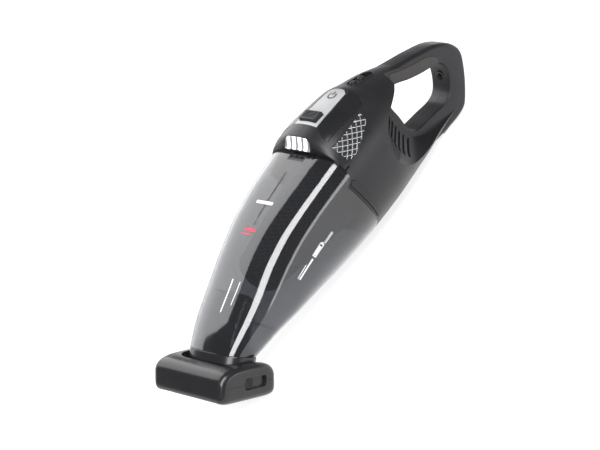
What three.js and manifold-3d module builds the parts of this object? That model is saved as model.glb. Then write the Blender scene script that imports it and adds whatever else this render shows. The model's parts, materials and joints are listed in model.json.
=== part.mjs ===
// Handheld cordless vacuum with a clear dust container and a small powered brush head.
// Millimetres, +Z up. The part lies on its belly: X runs from the brush head to the handle,
// Y is across the body, and the floor that it lies on is Z = 0.

import * as THREE from "three";
import { mergeVertices } from "three/addons/utils/BufferGeometryUtils.js";
import { RoundedBoxGeometry } from "three/addons/geometries/RoundedBoxGeometry.js";
import Module from "manifold-3d";

const wasm = await Module();
wasm.setup();

// ---------------------------------------------------------------- driving dimensions

const GAP = 0.35; // air between two pieces that touch
const WALL = 2.4; // wall of the body mouldings
const CLEAR_WALL = 2.2; // wall of the clear container
const FINE = 0.02; // the smallest detail kept in a surface
const RING_SIDES = 32; // points round each section of the mouldings

const HEAD_LEAN = THREE.MathUtils.degToRad(37); // tilt of the brush head's sole
const NECK_LEAN = THREE.MathUtils.degToRad(47); // tilt of the neck's own axis
const HEAD_RISE = 21.52; // sole centre above the floor, so that the sole's rear edge touches it
const NECK_RING = [38.1, 49.1]; // middle of the container's lower end (X, Z)

// Stations of the clear container: where the top and the bottom of the section are in side view.
const CONTAINER = [
  { top: [19.8, 68.8], bottom: [56.4, 29.5], width: 84, squareTop: 2.7, squareBottom: 2.5 },
  { top: [46.4, 83.4], bottom: [88, 29], width: 98, squareTop: 2.7, squareBottom: 2.4 },
  { top: [84.8, 100.6], bottom: [131.7, 22.5], width: 109, squareTop: 2.8, squareBottom: 2.3 },
  { top: [128.9, 120.2], bottom: [177.9, 15.2], width: 115, squareTop: 3.0, squareBottom: 2.2 },
  { top: [174.7, 133.5], bottom: [213, 11], width: 121, squareTop: 3.3, squareBottom: 2.2 },
  { top: [222, 140.5], bottom: [240, 9.5], width: 126, squareTop: 3.5, squareBottom: 2.2 },
  { top: [264, 144], bottom: [264, 9], width: 128.5, squareTop: 3.5, squareBottom: 2.2 },
  { top: [284, 144], bottom: [284, 9], width: 128.5, squareTop: 3.5, squareBottom: 2.2 },
];

// Stations of the motor body, all upright.
const BODY = [
  { x: 246, top: 147, bottom: 7.5, width: 130, squareTop: 3.3, squareBottom: 2.2 },
  { x: 262, top: 152, bottom: 7.5, width: 130, squareTop: 2.8, squareBottom: 2.2 },
  { x: 270, top: 163.5, bottom: 7.5, width: 130.5, squareTop: 2.2, squareBottom: 2.2 },
  { x: 287, top: 165.5, bottom: 7.5, width: 131, squareTop: 2.15, squareBottom: 2.2 },
  { x: 320, top: 163, bottom: 7.5, width: 128, squareTop: 2.1, squareBottom: 2.2 },
  { x: 350, top: 160, bottom: 7.5, width: 119, squareTop: 2.05, squareBottom: 2.2 },
  { x: 371, top: 150.5, bottom: 7.5, width: 109, squareTop: 2.3, squareBottom: 2.2 },
  { x: 400, top: 140.5, bottom: 7.5, width: 93, squareTop: 2.4, squareBottom: 2.3 },
  { x: 440, top: 122, bottom: 6, width: 60, squareTop: 2.4, squareBottom: 2.4 },
  { x: 484, top: 98, bottom: 5, width: 34, squareTop: 2.4, squareBottom: 2.6 },
];

// The joint between container and body, in side view, from top to bottom.
const SEAM = [[264, 190], [264, 114], [253.5, 108], [270, 38], [272, -20]];

// Side outline of the handle loop, and of the hand opening in it.
const HANDLE_OUTER = [
  [372, 146], [402, 137], [442, 122.5], [470, 112], [500, 98], [518, 82],
  [525, 65], [518, 43], [503, 18], [492, 6], [478, 2.6], [455, 3], [415, 7], [372, 10],
];
const HAND_OPENING = [
  [405, 115.5], [397, 109], [394.5, 96], [398, 76], [401, 56], [406, 45], [413, 41], [443, 36.5],
  [467, 33.5], [478, 36.5], [486, 46], [492.5, 64], [489, 77], [477, 83.5], [459, 90], [438, 99], [420, 109],
];
const HANDLE_HALF = 15; // half the thickness of the handle loop
const HANDLE_ROUND = 6;

// The scoop that thins the body towards the handle: its edge on the side of the barrel,
// the edge of the vent panel inside it, and where the panel meets the hand opening.
const SCOOP_RIDGE = [
  [404, 143], [376, 136], [356, 127], [342, 116], [334, 102], [332, 79], [338, 58], [352, 38],
  [378, 22], [420, 12], [560, 2],
];
const SCOOP_PANEL = [
  [401, 128], [385, 118.5], [374, 112.5], [365, 105.5], [360, 97], [358.5, 78], [363, 61], [372, 44.5],
  [388, 33], [424, 20], [560, 4],
];
const SCOOP_ROOT = [
  [408, 121], [398, 114], [391, 107], [388, 101], [387, 94], [389, 76], [391, 62], [395, 49],
  [404, 38], [432, 24], [560, 6],
];
const SCOOP_ABOVE = [[560, 200], [404, 200]]; // closes each scoop outline above the handle
const SCOOP_DEPTH = { root: 15, panel: 36, ridge: 62, outside: 80 }; // from the middle plane
const SCOOP_FLARE = 1.3; // how far the ridge outline runs on outside the barrel

const MOTOR_Z = 80; // height of the motor's axis and of the filter's
const TOP_SLOPE = THREE.MathUtils.degToRad(19); // fall of the top line at the power switch

// ---------------------------------------------------------------- geometry helpers

const vec = (x, y, z) => new THREE.Vector3(x, y, z);

function toSolid(geometry) {
  const bare = geometry.index ? geometry.toNonIndexed() : geometry.clone();
  for (const key of Object.keys(bare.attributes)) {
    if (key !== "position") bare.deleteAttribute(key);
  }
  const merged = mergeVertices(bare, 1e-4);
  return new wasm.Manifold(
    new wasm.Mesh({
      numProp: 3,
      vertProperties: new Float32Array(merged.attributes.position.array),
      triVerts: new Uint32Array(merged.index.array),
    }),
  );
}

function toGeometry(solid) {
  const mesh = solid.getMesh();
  const points = new Float32Array(mesh.numVert * 3);
  for (let i = 0; i < mesh.numVert; i++) {
    points.set(mesh.vertProperties.subarray(i * mesh.numProp, i * mesh.numProp + 3), i * 3);
  }
  return new THREE.BufferGeometry()
    .setAttribute("position", new THREE.BufferAttribute(points, 3))
    .setIndex(new THREE.BufferAttribute(mesh.triVerts, 1));
}

// A closed skin over rings of equal point count, with flat fans on its two ends.
function skin(rings) {
  const count = rings[0].length;
  const points = rings.flat();
  const faces = [];
  for (let r = 0; r + 1 < rings.length; r++) {
    for (let i = 0; i < count; i++) {
      const a = r * count + i;
      const b = r * count + ((i + 1) % count);
      faces.push(a, b, b + count, a, b + count, a + count);
    }
  }
  const sum = (ring) => ring.reduce((total, point) => total.add(point), vec(0, 0, 0));
  points.push(sum(rings[0]).divideScalar(count), sum(rings.at(-1)).divideScalar(count));
  const last = (rings.length - 1) * count;
  for (let i = 0; i < count; i++) {
    const j = (i + 1) % count;
    faces.push(points.length - 2, j, i, points.length - 1, last + i, last + j);
  }
  const build = () => toSolid(new THREE.BufferGeometry().setFromPoints(points).setIndex(faces));
  const solid = build();
  if (solid.volume() >= 0) return solid;
  faces.reverse();
  return build();
}

// One section: a superellipse between a top and a bottom point, squarer on top than below.
function sectionRing(station, inset, sides = RING_SIDES) {
  const top = vec(station.top[0], 0, station.top[1]);
  const bottom = vec(station.bottom[0], 0, station.bottom[1]);
  const centre = top.clone().add(bottom).multiplyScalar(0.5);
  const up = top.clone().sub(bottom).normalize();
  const high = top.distanceTo(bottom) / 2 - inset;
  const wide = station.width / 2 - inset;
  return Array.from({ length: sides }, (_, i) => {
    const angle = (i / sides) * 2 * Math.PI;
    const [c, s] = [Math.cos(angle), Math.sin(angle)];
    const power = 2 / (s >= 0 ? station.squareTop : station.squareBottom);
    const across = Math.sign(c) * Math.abs(c) ** power * wide;
    const along = Math.sign(s) * Math.abs(s) ** power * high;
    return centre.clone().addScaledVector(up, along).add(vec(0, across, 0));
  });
}

const loft = (stations, inset = 0, sides = RING_SIDES) =>
  skin(stations.map((station) => sectionRing(station, inset, sides)));
const upright = ({ x, top, bottom, ...rest }) => ({ top: [x, top], bottom: [x, bottom], ...rest });
const bodyLoft = (inset = 0) => loft(BODY.map(upright), inset);

// The points of a smooth closed outline through the given ones.
function smoothLoop(outline, count) {
  const curve = new THREE.CatmullRomCurve3(outline.map(([a, b]) => vec(a, b, 0)), true, "centripetal");
  return curve.getSpacedPoints(count).slice(0, -1).map(({ x, y }) => [x, y]);
}

const SHARPEST_TURN = -0.6; // a corner sharper than this is mitred as if it were this sharp

// An outline moved outwards by a distance (inwards when it is negative), with mitred corners.
function grown(outline, distance) {
  const area = THREE.ShapeUtils.area(outline.map(([x, y]) => new THREE.Vector2(x, y)));
  const outward = outline.map(([x, y], i) => {
    const [nextX, nextY] = outline[(i + 1) % outline.length];
    return new THREE.Vector2(nextY - y, x - nextX).normalize().multiplyScalar(Math.sign(area));
  });
  return outline.map(([x, y], i) => {
    const [before, after] = [outward.at(i - 1), outward[i]];
    const turn = Math.max(before.dot(after), SHARPEST_TURN);
    const mitre = before.clone().add(after).multiplyScalar(distance / (1 + turn));
    return [x + mitre.x, y + mitre.y];
  });
}

const asShape = (outline) => new THREE.Shape(outline.map(([x, y]) => new THREE.Vector2(x, y)));

function extruded(outline, depth, bevel) {
  return new THREE.ExtrudeGeometry(asShape(outline), {
    depth: depth - 2 * bevel,
    bevelEnabled: bevel > 0,
    bevelSize: bevel,
    bevelThickness: bevel,
    bevelOffset: -bevel,
    bevelSegments: 2,
    curveSegments: 6,
  }).translate(0, 0, bevel);
}

// A side-view outline (X, Z) run across Y.
const sidePlate = (outline, fromY, toY, bevel = 0) =>
  toSolid(extruded(outline, toY - fromY, bevel).rotateX(Math.PI / 2).translate(0, toY, 0));

// A plan-view outline (X, Y) run up Z.
const planPlate = (outline, fromZ, toZ, bevel = 0) =>
  toSolid(extruded(outline, toZ - fromZ, bevel).translate(0, 0, fromZ));

function box(x0, x1, y0, y1, z0, z1, round = 0) {
  const size = [x1 - x0, y1 - y0, z1 - z0];
  const geometry = round ? new RoundedBoxGeometry(...size, 1, round) : new THREE.BoxGeometry(...size);
  return toSolid(geometry.translate((x0 + x1) / 2, (y0 + y1) / 2, (z0 + z1) / 2));
}

const TURNS = { x: (g) => g.rotateZ(-Math.PI / 2), y: (g) => g, z: (g) => g.rotateX(Math.PI / 2) };

// A round bar along one axis, centred on a point.
function bar(axis, radius, length, [x, y, z], sides = 24, endRadius = radius) {
  const geometry = new THREE.CylinderGeometry(endRadius, radius, length, sides);
  return toSolid(TURNS[axis](geometry).translate(x, y, z));
}

// A turned piece along X: (X, radius) pairs, closed on themselves or on the axis.
function turned(profile, z, sides = 28) {
  const points = profile.map(([x, radius]) => new THREE.Vector2(Math.max(radius, 0), x));
  const closed = profile[0][1] > 0 ? [...points, points[0]] : points;
  const solid = (list) => toSolid(TURNS.x(new THREE.LatheGeometry(list, sides)).translate(0, 0, z));
  const made = solid(closed);
  return made.volume() >= 0 ? made : solid(closed.reverse());
}

const mirrored = (outline) => outline.map(([x, y]) => [x, -y]).reverse();
const join = (solids) => solids.reduce((all, solid) => all.add(solid));
const sideNames = { left: 1, right: -1 };

// ---------------------------------------------------------------- materials

const plastic = (color, roughness) => new THREE.MeshStandardMaterial({ color, roughness, metalness: 0 });
const metal = (color, roughness) => new THREE.MeshStandardMaterial({ color, roughness, metalness: 1 });

const graphite = plastic(0x3c3d40, 0.42);
const darkPlastic = plastic(0x232427, 0.5);
const glossBlack = plastic(0x101113, 0.12);
const silver = plastic(0xd9dadc, 0.35);
const smoke = plastic(0x8c8f96, 0.08);
const softBlack = plastic(0x1b1b1c, 0.8);
const frosted = plastic(0xf2f4f5, 0.3);
const meshCloth = plastic(0x2b2c30, 0.7);
const paper = plastic(0xe9e6dc, 0.9);
const bristle = plastic(0x7d1f26, 0.8);
const boardGreen = plastic(0x1d5a34, 0.5);
const cellWrap = plastic(0x2a6fae, 0.35);
const chrome = metal(0xd6d8db, 0.16);
const steel = metal(0x9a9da1, 0.35);

const root = new THREE.Group();
const whole = new THREE.Group();
root.add(whole);

function add(name, solid, material, group = whole) {
  const mesh = new THREE.Mesh(toGeometry(solid.simplify(FINE)), material);
  mesh.name = name;
  group.add(mesh);
}

// ---------------------------------------------------------------- body mouldings

const ahead = sidePlate([...SEAM, [-80, -20], [-80, 190]], -100, 100);
const behindSeam = (gap) => {
  const shifted = SEAM.map(([x, z]) => [x + gap, z]);
  return sidePlate([...shifted, [600, -20], [600, 190]], -100, 100);
};

function scoop(side, forward, thin) {
  const ring = (outline, y) => [...outline, ...SCOOP_ABOVE].map(([x, z]) => vec(x - forward, side * y, z));
  const flared = SCOOP_PANEL.map(([x, z], i) => [
    x + SCOOP_FLARE * (SCOOP_RIDGE[i][0] - x),
    z + SCOOP_FLARE * (SCOOP_RIDGE[i][1] - z),
  ]);
  return skin([
    ring(SCOOP_ROOT, SCOOP_DEPTH.root - thin),
    ring(SCOOP_PANEL, SCOOP_DEPTH.panel - thin),
    ring(SCOOP_RIDGE, SCOOP_DEPTH.ridge - thin),
    ring(flared, SCOOP_DEPTH.outside),
  ]);
}

const handleOutline = smoothLoop(HANDLE_OUTER, 40);
const openingOutline = smoothLoop(HAND_OPENING, 36);
const opening = (grow = 0) => sidePlate(grown(openingOutline, grow), -90, 90);
function handleLoop(inset = 0) {
  const half = HANDLE_HALF - inset;
  return sidePlate(grown(handleOutline, -inset), -half, half, HANDLE_ROUND - inset / 2);
}

const bodyOuter = join([
  bodyLoft().subtract(scoop(1, 0, 0)).subtract(scoop(-1, 0, 0)), handleLoop(),
]).subtract(opening()).intersect(behindSeam(GAP));

// The brow over the container is solid down to the container's top, and the rest is a thin wall.
const BROW = { x: 271, z: 124 };
const hollowBarrel = bodyLoft(WALL)
  .intersect(sidePlate([
    [240, 0], [380, 0], [388, 60], [384, 104], [368, 170], [BROW.x, 170], [BROW.x, BROW.z], [240, BROW.z],
  ], -90, 90))
  .add(loft(CONTAINER, -GAP).intersect(box(230, BROW.x + 1, -80, 80, BROW.z - 1, 180)))
  .subtract(scoop(1, 4, 3.2)).subtract(scoop(-1, 4, 3.2));
const hollowHandle = handleLoop(2.6).subtract(opening(2.6));

// Screws through the handle halves: (X, Z) of each, with a boss around it.
const BODY_SCREWS = [[452, 108], [508, 52], [438, 22]];
const SCREW = { shank: 1.5, head: 3.2, tip: -9, seat: 8.5, top: 11 };
const screwSolid = ([x, z], grow) => join([
  bar(
    "y", SCREW.shank + grow, SCREW.seat - SCREW.tip + grow,
    [x, (SCREW.seat + SCREW.tip - grow) / 2, z], 12,
  ),
  bar("y", SCREW.head + grow, SCREW.top - SCREW.seat + 0.6, [x, (SCREW.seat + SCREW.top) / 2, z], 14),
]);
const bosses = join(BODY_SCREWS.map(([x, z]) => bar("y", 4.6, 27, [x, 0, z], 12)));

// ---------------------------------------------------------------- trim laid into the body

const layer = (proud, depth) => bodyLoft(-proud).subtract(bodyLoft(depth));
const pocketFor = (prism, depth) => prism.subtract(bodyLoft(depth));
const INLAY = 1.3;

const PANEL = [[287.5, -17.5], [348, -13.5], [353, -8], [354, 0], [353, 8], [348, 13.5], [287.5, 17.5]];
const panelPrism = (grow) => planPlate(grown(PANEL, grow), 120, 180);
const BUTTON = { x0: 293, x1: 308, half: 12.5, bottom: 158.5, top: 169 };
const buttonHole = box(BUTTON.x0 - 0.6, BUTTON.x1 + 0.6, -BUTTON.half - 0.6, BUTTON.half + 0.6, 140, 180);

const CHEEK = [
  [287, 18.6], [277.5, 33.5], [278.5, 37.2], [333, 37.6], [344, 36], [351, 29], [357.5, 19], [355.5, 11],
  [349.5, 14.8],
];
const cheekPrism = (side, grow) => planPlate(grown(side > 0 ? CHEEK : mirrored(CHEEK), grow), 120, 180);

const GRILLE = [[334, 145.5], [331, 137], [285, 126], [275.5, 129.5], [273.5, 147.5]];
const grillePrism = (side, grow) =>
  side > 0 ? sidePlate(grown(GRILLE, grow), 20, 80) : sidePlate(grown(GRILLE, grow), -80, -20);

const LED = [[260.8, -19.5], [267, -19], [269.3, -14.5], [269.3, 14.5], [267, 19], [260.8, 19.5]];
const ledPrism = (grow) => planPlate(grown(LED, grow), 120, 180);

const STRIP = [[257, 107.5], [262.5, 110.5], [267, 107], [279.5, 46], [276, 41], [273, 42]];
const stripPrism = (side, grow) =>
  side > 0 ? sidePlate(grown(STRIP, grow), 20, 80) : sidePlate(grown(STRIP, grow), -80, -20);

// The power switch lies in an oval pocket on the sloping top line.
const switchFrame = new THREE.Group();
switchFrame.position.set(386, 0, 145.3);
switchFrame.rotation.y = TOP_SLOPE;
switchFrame.updateMatrixWorld(true);
const inSwitchFrame = (solid) => solid.transform(switchFrame.matrix.toArray());
const stadium = (halfLength, halfWidth) => {
  const shape = new THREE.Shape();
  shape.absarc(halfLength - halfWidth, 0, halfWidth, -Math.PI / 2, Math.PI / 2);
  shape.absarc(halfWidth - halfLength, 0, halfWidth, Math.PI / 2, 1.5 * Math.PI);
  return shape.getPoints(6).slice(0, -1).map(({ x, y }) => [x, y]);
};
const SWITCH = { half: 20.5, wide: 8.6, rim: 1.6, floor: -6, knobHalf: 12, knobWide: 6, travel: 5 };
const switchPocket = inSwitchFrame(planPlate(stadium(SWITCH.half, SWITCH.wide), SWITCH.floor, 20));

const trims = join([
  pocketFor(panelPrism(0.3), INLAY + 0.35),
  buttonHole,
  ...[1, -1].flatMap((side) => [
    pocketFor(cheekPrism(side, 0.3), INLAY + 0.35),
    pocketFor(grillePrism(side, 0.3), INLAY + 0.35),
    grillePrism(side, -2.2).subtract(bodyLoft(WALL + 2)),
    pocketFor(stripPrism(side, 0.3), INLAY + 0.35),
  ]),
  pocketFor(ledPrism(0.3), INLAY + 0.35),
  switchPocket,
]);

// Vent slots across the slanted panels in front of the hand opening.
const VENT_ROWS = 7;
const vents = join([1, -1].flatMap((side) =>
  Array.from({ length: VENT_ROWS }, (_, i) => {
    const z = 47 + i * 8.6;
    const slot = box(352, 392.5, 17.5, 43, z, z + 3.6);
    return side > 0 ? slot : slot.mirror([0, 1, 0]);
  }),
));

const JACK = { x: 489, z: 55, radius: 5.4, depth: 12 };
const jackHole = bar("x", JACK.radius + GAP, JACK.depth + 4, [JACK.x + JACK.depth / 2, 0, JACK.z], 20);
const FOOT = { x0: 448, x1: 474, half: 8, top: 4.2 };
const footPocket = box(FOOT.x0 - GAP, FOOT.x1 + GAP, -FOOT.half - GAP, FOOT.half + GAP, -5, FOOT.top + GAP);

// Soft grip round the underside of the upper bar.
const GRIP = [[414, 126], [408, 108], [440, 88], [482, 70], [487, 88], [476, 99], [452, 109], [430, 119]];
const gripZone = (grow) => sidePlate(grown(smoothLoop(GRIP, 30), grow), -30, 30);
const gripSkin = (outside, inside) =>
  handleLoop(outside).subtract(opening(outside)).subtract(handleLoop(inside).subtract(opening(inside)));

const shell = bodyOuter
  .subtract(hollowBarrel.add(hollowHandle).subtract(bosses))
  .subtract(trims)
  .subtract(vents)
  .subtract(jackHole)
  .subtract(footPocket)
  .subtract(gripZone(0.3).intersect(gripSkin(-1, 1.5)))
  .subtract(join(BODY_SCREWS.map((at) => screwSolid(at, GAP))));

add("body_shell_left", shell.intersect(box(0, 600, 0.15, 100, -10, 200)), graphite);
add("body_shell_right", shell.intersect(box(0, 600, -100, -0.15, -10, 200)), graphite);
BODY_SCREWS.forEach((at, i) => add(`body_screw_${i + 1}`, screwSolid(at, 0), steel));

add("top_panel", layer(0.3, INLAY).intersect(panelPrism(0)).subtract(buttonHole), silver);
for (const [name, side] of Object.entries(sideNames)) {
  const slats = join(Array.from({ length: 9 }, (_, i) =>
    box(-2, 2, -90, 90, -40, 40).rotate([0, -28, 0]).translate([277 + i * 7, 0, 140])));
  const frame = grillePrism(side, 0).subtract(grillePrism(side, -2));
  const bars = grillePrism(side, 0).subtract(slats);
  add(`cheek_trim_${name}`, layer(0.2, INLAY).intersect(cheekPrism(side, 0)), glossBlack);
  const lattice = layer(0.3, INLAY).intersect(frame.add(bars)).subtract(cheekPrism(side, 0.5));
  add(`side_grille_${name}`, lattice, chrome);
  add(`seam_strip_${name}`, layer(0.9, INLAY).intersect(stripPrism(side, 0)), darkPlastic);
}
add("led_lens", layer(0.3, INLAY).intersect(ledPrism(0)), frosted);
add("grip_insert", gripZone(0).intersect(gripSkin(-0.3, 1.15)), softBlack);
add("rear_foot", box(FOOT.x0, FOOT.x1, -FOOT.half, FOOT.half, 0, FOOT.top), softBlack);

// ---------------------------------------------------------------- controls

const bezel = planPlate(stadium(SWITCH.half - 0.35, SWITCH.wide - 0.35), SWITCH.floor + 0.4, 0.7)
  .subtract(planPlate(stadium(SWITCH.half - SWITCH.rim, SWITCH.wide - SWITCH.rim), SWITCH.floor + 1.6, 5));
add("switch_bezel", inSwitchFrame(bezel), darkPlastic);
const knobShift = -5.5; // the switch at rest, towards the front of its pocket
const knob = join([
  planPlate(stadium(SWITCH.knobHalf, SWITCH.knobWide), -3.9, -0.6),
  box(-11, -2.5, -4.6, 4.6, -3, 1.8, 1.2),
  box(2.5, 11, -4.6, 4.6, -3, 1.8, 1.2),
]).translate([knobShift, 0, 0]);
add("power_switch", inSwitchFrame(knob), darkPlastic);

add("release_button", box(
  BUTTON.x0, BUTTON.x1, -BUTTON.half, BUTTON.half, BUTTON.bottom, BUTTON.top, 1.4), darkPlastic);

// The latch lever turns about a pin behind the button, and its tooth holds the container's slot.
const LEVER = { pivot: [318, 150], half: 11.5, pin: 1.5, tooth: 256 };
const leverProfile = [
  [322.5, 148], [322.5, 153], [318, 154.5], [306, 155], [305, 158.1], [296, 158.1], [295, 154], [286, 151],
  [266, 140.3], [256, 140.1], [255.6, 142.9], [252.4, 142.7], [252.2, 137.6], [267, 137.6], [288, 147.4],
  [314, 146.5],
];
const lever = sidePlate(leverProfile, -LEVER.half, LEVER.half)
  .subtract(bar("y", LEVER.pin + GAP, 60, [LEVER.pivot[0], 0, LEVER.pivot[1]], 16))
  .subtract(box(312, 330, -4, 4, 140, 160));
add("latch_lever", lever, darkPlastic);
add("latch_pin", bar("y", LEVER.pin, 32, [LEVER.pivot[0], 0, LEVER.pivot[1]], 16), steel);

// ---------------------------------------------------------------- motor, fan and battery

const BULKHEAD = { x0: 273.2, x1: 276.4, hole: 30 };
const bulkhead = bodyLoft(WALL + 0.5)
  .intersect(box(BULKHEAD.x0, BULKHEAD.x1, -80, 80, 0, 190))
  .subtract(bar("x", BULKHEAD.hole, 20, [275, 0, MOTOR_Z], 32))
  .subtract(box(260, 290, -LEVER.half - 2, LEVER.half + 2, 134, 152));
add("filter_bulkhead", bulkhead, darkPlastic);

const FAN = { x0: 277, x1: 301, radius: 41, wall: 2, eye: 22 };
add("fan_housing", turned([
  [FAN.x0, FAN.eye], [FAN.x0, FAN.radius], [FAN.x1, FAN.radius], [FAN.x1, FAN.radius - FAN.wall],
  [FAN.x0 + FAN.wall, FAN.radius - FAN.wall], [FAN.x0 + FAN.wall, FAN.eye],
], MOTOR_Z), darkPlastic);
const blades = join(Array.from({ length: 8 }, (_, i) =>
  box(283, 293.5, 12, 35, -0.8, 0.8).rotate([i * 45, 0, 0]).translate([0, 0, MOTOR_Z])));
add("fan_impeller", turned([
  [281.5, 2.3], [281.5, 8], [291, 14], [291.5, 36], [293.5, 36], [297, 8], [297, 2.3],
], MOTOR_Z).add(blades), steel);
const MOTOR = { x0: 304.8, x1: 362, radius: 22, shaft: 2 };
add("motor_can", turned([
  [MOTOR.x0, 2.5], [MOTOR.x0, MOTOR.radius], [MOTOR.x1 - 3, MOTOR.radius],
  [MOTOR.x1, MOTOR.radius - 3], [MOTOR.x1, 2.5],
], MOTOR_Z), steel);
add("motor_shaft", bar("x", MOTOR.shaft, 88, [323, 0, MOTOR_Z], 16), steel);
add("motor_mount_rear", turned([
  [350, 22.4], [350, 24.8], [360, 24.8], [366, 18.8], [366, 5], [362.5, 5], [362.5, 19.2], [359.3, 22.4],
], MOTOR_Z), softBlack);

const CELL = { radius: 9.2, length: 65, pitch: 19.2, rise: 0.6, x: 290.5, z: 29.2 };
const cellPlaces = [0, 1, 2, 3].map((i) => [CELL.x + i * CELL.pitch, CELL.z + i * CELL.rise]);
cellPlaces.push([CELL.x + 1.5 * CELL.pitch, CELL.z + 1.5 * CELL.rise + CELL.pitch * 0.88]);
cellPlaces.forEach(([x, z], i) => {
  add(`battery_cell_${i + 1}`, bar("y", CELL.radius, CELL.length, [x, 0, z], 24), cellWrap);
});
const cradle = join(cellPlaces.slice(0, 4).map(([x, z]) => bar("y", CELL.radius + GAP, 90, [x, 0, z], 28)));
add("battery_tray", box(281, 358, -18, 18, 13.8, 25).subtract(cradle), darkPlastic);
add("control_board", box(312, 356, -20, 20, 127, 128.8), boardGreen);
const jackRing = (radius, depth, x) => bar("x", radius, depth, [x, 0, JACK.z], 20);
add("charging_socket", jackRing(JACK.radius, JACK.depth, JACK.x + JACK.depth / 2 + 1)
  .subtract(jackRing(3.2, 9, JACK.x + 4.5)), darkPlastic);

// ---------------------------------------------------------------- clear container

// The same stations with both end sections pushed outwards, for cutting a hollow right through.
function lengthened(stations, amount) {
  const push = (end, next) => {
    const out = (key) => end[key].map((v, i) => v + amount * (v - next[key][i]));
    return { ...end, top: out("top"), bottom: out("bottom") };
  };
  return [push(stations[0], stations[1]), ...stations.slice(1, -1), push(stations.at(-1), stations.at(-2))];
}
const tube = (stations, wall) => loft(stations).subtract(loft(lengthened(stations, 0.1), wall));

const latchSlot = box(251.8, 256.2, -12.2, 12.2, 138, 150);
add("dust_container", tube(CONTAINER, CLEAR_WALL).intersect(ahead).subtract(latchSlot), smoke);

const DUCT_SIDES = 20;
const DUCT = [
  { top: [25.8, 62.3], bottom: [50.4, 35.9], width: 60, squareTop: 3.5, squareBottom: 3.5 },
  { top: [52, 80], bottom: [73, 55], width: 58, squareTop: 3.5, squareBottom: 3.5 },
  { top: [84, 94], bottom: [94, 68], width: 56, squareTop: 3.5, squareBottom: 3.5 },
];
const baffle = loft(CONTAINER, CLEAR_WALL + GAP)
  .intersect(sidePlate([[54, 96], [84, 44], [86, 45.2], [56, 97.2]], -60, 60));
add("inlet_duct", loft(DUCT, 0, DUCT_SIDES).add(baffle)
  .subtract(loft(lengthened(DUCT, 0.1), 1.8, DUCT_SIDES)), smoke);
const FLAP = { hinge: [86.2, 95], tip: [96, 69.4], thick: 1.4, half: 25 };
const flapFace = [FLAP.hinge, FLAP.tip];
const flapBack = flapFace.map(([x, z]) => [x + FLAP.thick, z + 0.5]).reverse();
const flapLine = [...flapFace, ...flapBack];
add("inlet_flap", sidePlate(flapLine, -FLAP.half, FLAP.half), softBlack);

// Filter: a flange on the bulkhead, a long mesh cone in front of it and the pleated filter inside.
const FILTER = {
  flange: 51, sealOuter: 50, sealInner: 44, // radii
  x1: 270, seat: 262, nose: 122, // rear face, front of the flange, front end
  wide: 44, narrow: 27, wall: 1.3, // radii at the two ends of the cone, and its thickness
};
add("filter_seal", turned([
  [270.4, FILTER.sealInner], [270.4, FILTER.sealOuter], [272.8, FILTER.sealOuter], [272.8, FILTER.sealInner],
], MOTOR_Z), softBlack);
add("filter_frame", turned([
  [FILTER.seat, FILTER.wide + 1], [FILTER.seat, FILTER.flange], [FILTER.x1, FILTER.flange],
  [FILTER.x1, 40], [266, 40], [266, FILTER.wide + 1],
], MOTOR_Z, 32), darkPlastic);
add("mesh_prefilter", turned([
  [265.6, FILTER.wide - FILTER.wall], [265.6, FILTER.wide], [FILTER.seat - 6, FILTER.wide],
  [FILTER.nose + 14, FILTER.narrow + 1], [FILTER.nose + 4, FILTER.narrow - 4],
  [FILTER.nose, FILTER.narrow - 12], [FILTER.nose, 5], [FILTER.nose + 2, 5],
  [FILTER.nose + 2, FILTER.narrow - 13], [FILTER.nose + 6, FILTER.narrow - 5],
  [FILTER.nose + 15, FILTER.narrow - FILTER.wall], [FILTER.seat - 6, FILTER.wide - FILTER.wall],
], MOTOR_Z, 30), meshCloth);
const PLEATS = 20;
const pleatRing = (x, radius, depth) => Array.from({ length: PLEATS * 2 }, (_, i) => {
  const angle = (i / (PLEATS * 2)) * 2 * Math.PI;
  const r = i % 2 ? radius : radius - depth;
  return vec(x, r * Math.cos(angle), MOTOR_Z + r * Math.sin(angle));
});
const pleated = skin([pleatRing(144, 24, 6), pleatRing(264, 39, 8)])
  .subtract(bar("x", 12, 140, [215, 0, MOTOR_Z], 20));
add("pleated_filter", pleated, paper);

// ---------------------------------------------------------------- neck

const neck = new THREE.Group();
neck.position.set(NECK_RING[0], 0, NECK_RING[1]);
neck.rotation.y = NECK_LEAN;
whole.add(neck);
const NECK = { pivot: -9, edge: -10.6, drum: 14, drumHalf: 35, pin: 3, pinHalf: 52 };
const neckSection = (z, width, depth, middle = 0) => ({
  top: [middle - depth / 2, z], bottom: [middle + depth / 2, z], width, squareTop: 2.7, squareBottom: 2.5,
});
const tilt = NECK_LEAN - HEAD_LEAN;
// Everything above the flat lower edge of the collar, which is level with the head's top.
const aboveEdge = box(-90, 90, -90, 90, 0, 60)
  .rotate([0, THREE.MathUtils.radToDeg(-tilt), 0]).translate([0, 0, NECK.edge]);
neck.updateMatrixWorld(true);
// The spigot keeps clear of the container's walls, which lean across it.
const toNeck = neck.matrix.clone().invert().toArray();
const insideContainer = loft(lengthened(CONTAINER, 0.1), CLEAR_WALL + GAP).transform(toNeck);
const collar = join([
  loft([neckSection(-30, 81, 52), neckSection(-GAP, 84, 53.7)]).intersect(aboveEdge),
  loft([neckSection(-3, 77.8, 47.6), neckSection(8, 77.8, 47.6)]).intersect(insideContainer),
  bar("y", NECK.drum, NECK.drumHalf * 2, [0, 0, NECK.pivot], 28),
  bar("y", NECK.pin, 2 * NECK.pinHalf, [0, 0, NECK.pivot], 18),
])
  .subtract(loft([
    neckSection(-40, 62, 22), neckSection(-14, 62, 23), neckSection(-4, 66, 40), neckSection(12, 66, 40),
  ], 0, DUCT_SIDES));
add("neck_collar", collar, glossBlack, neck);

// ---------------------------------------------------------------- brush head

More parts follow.
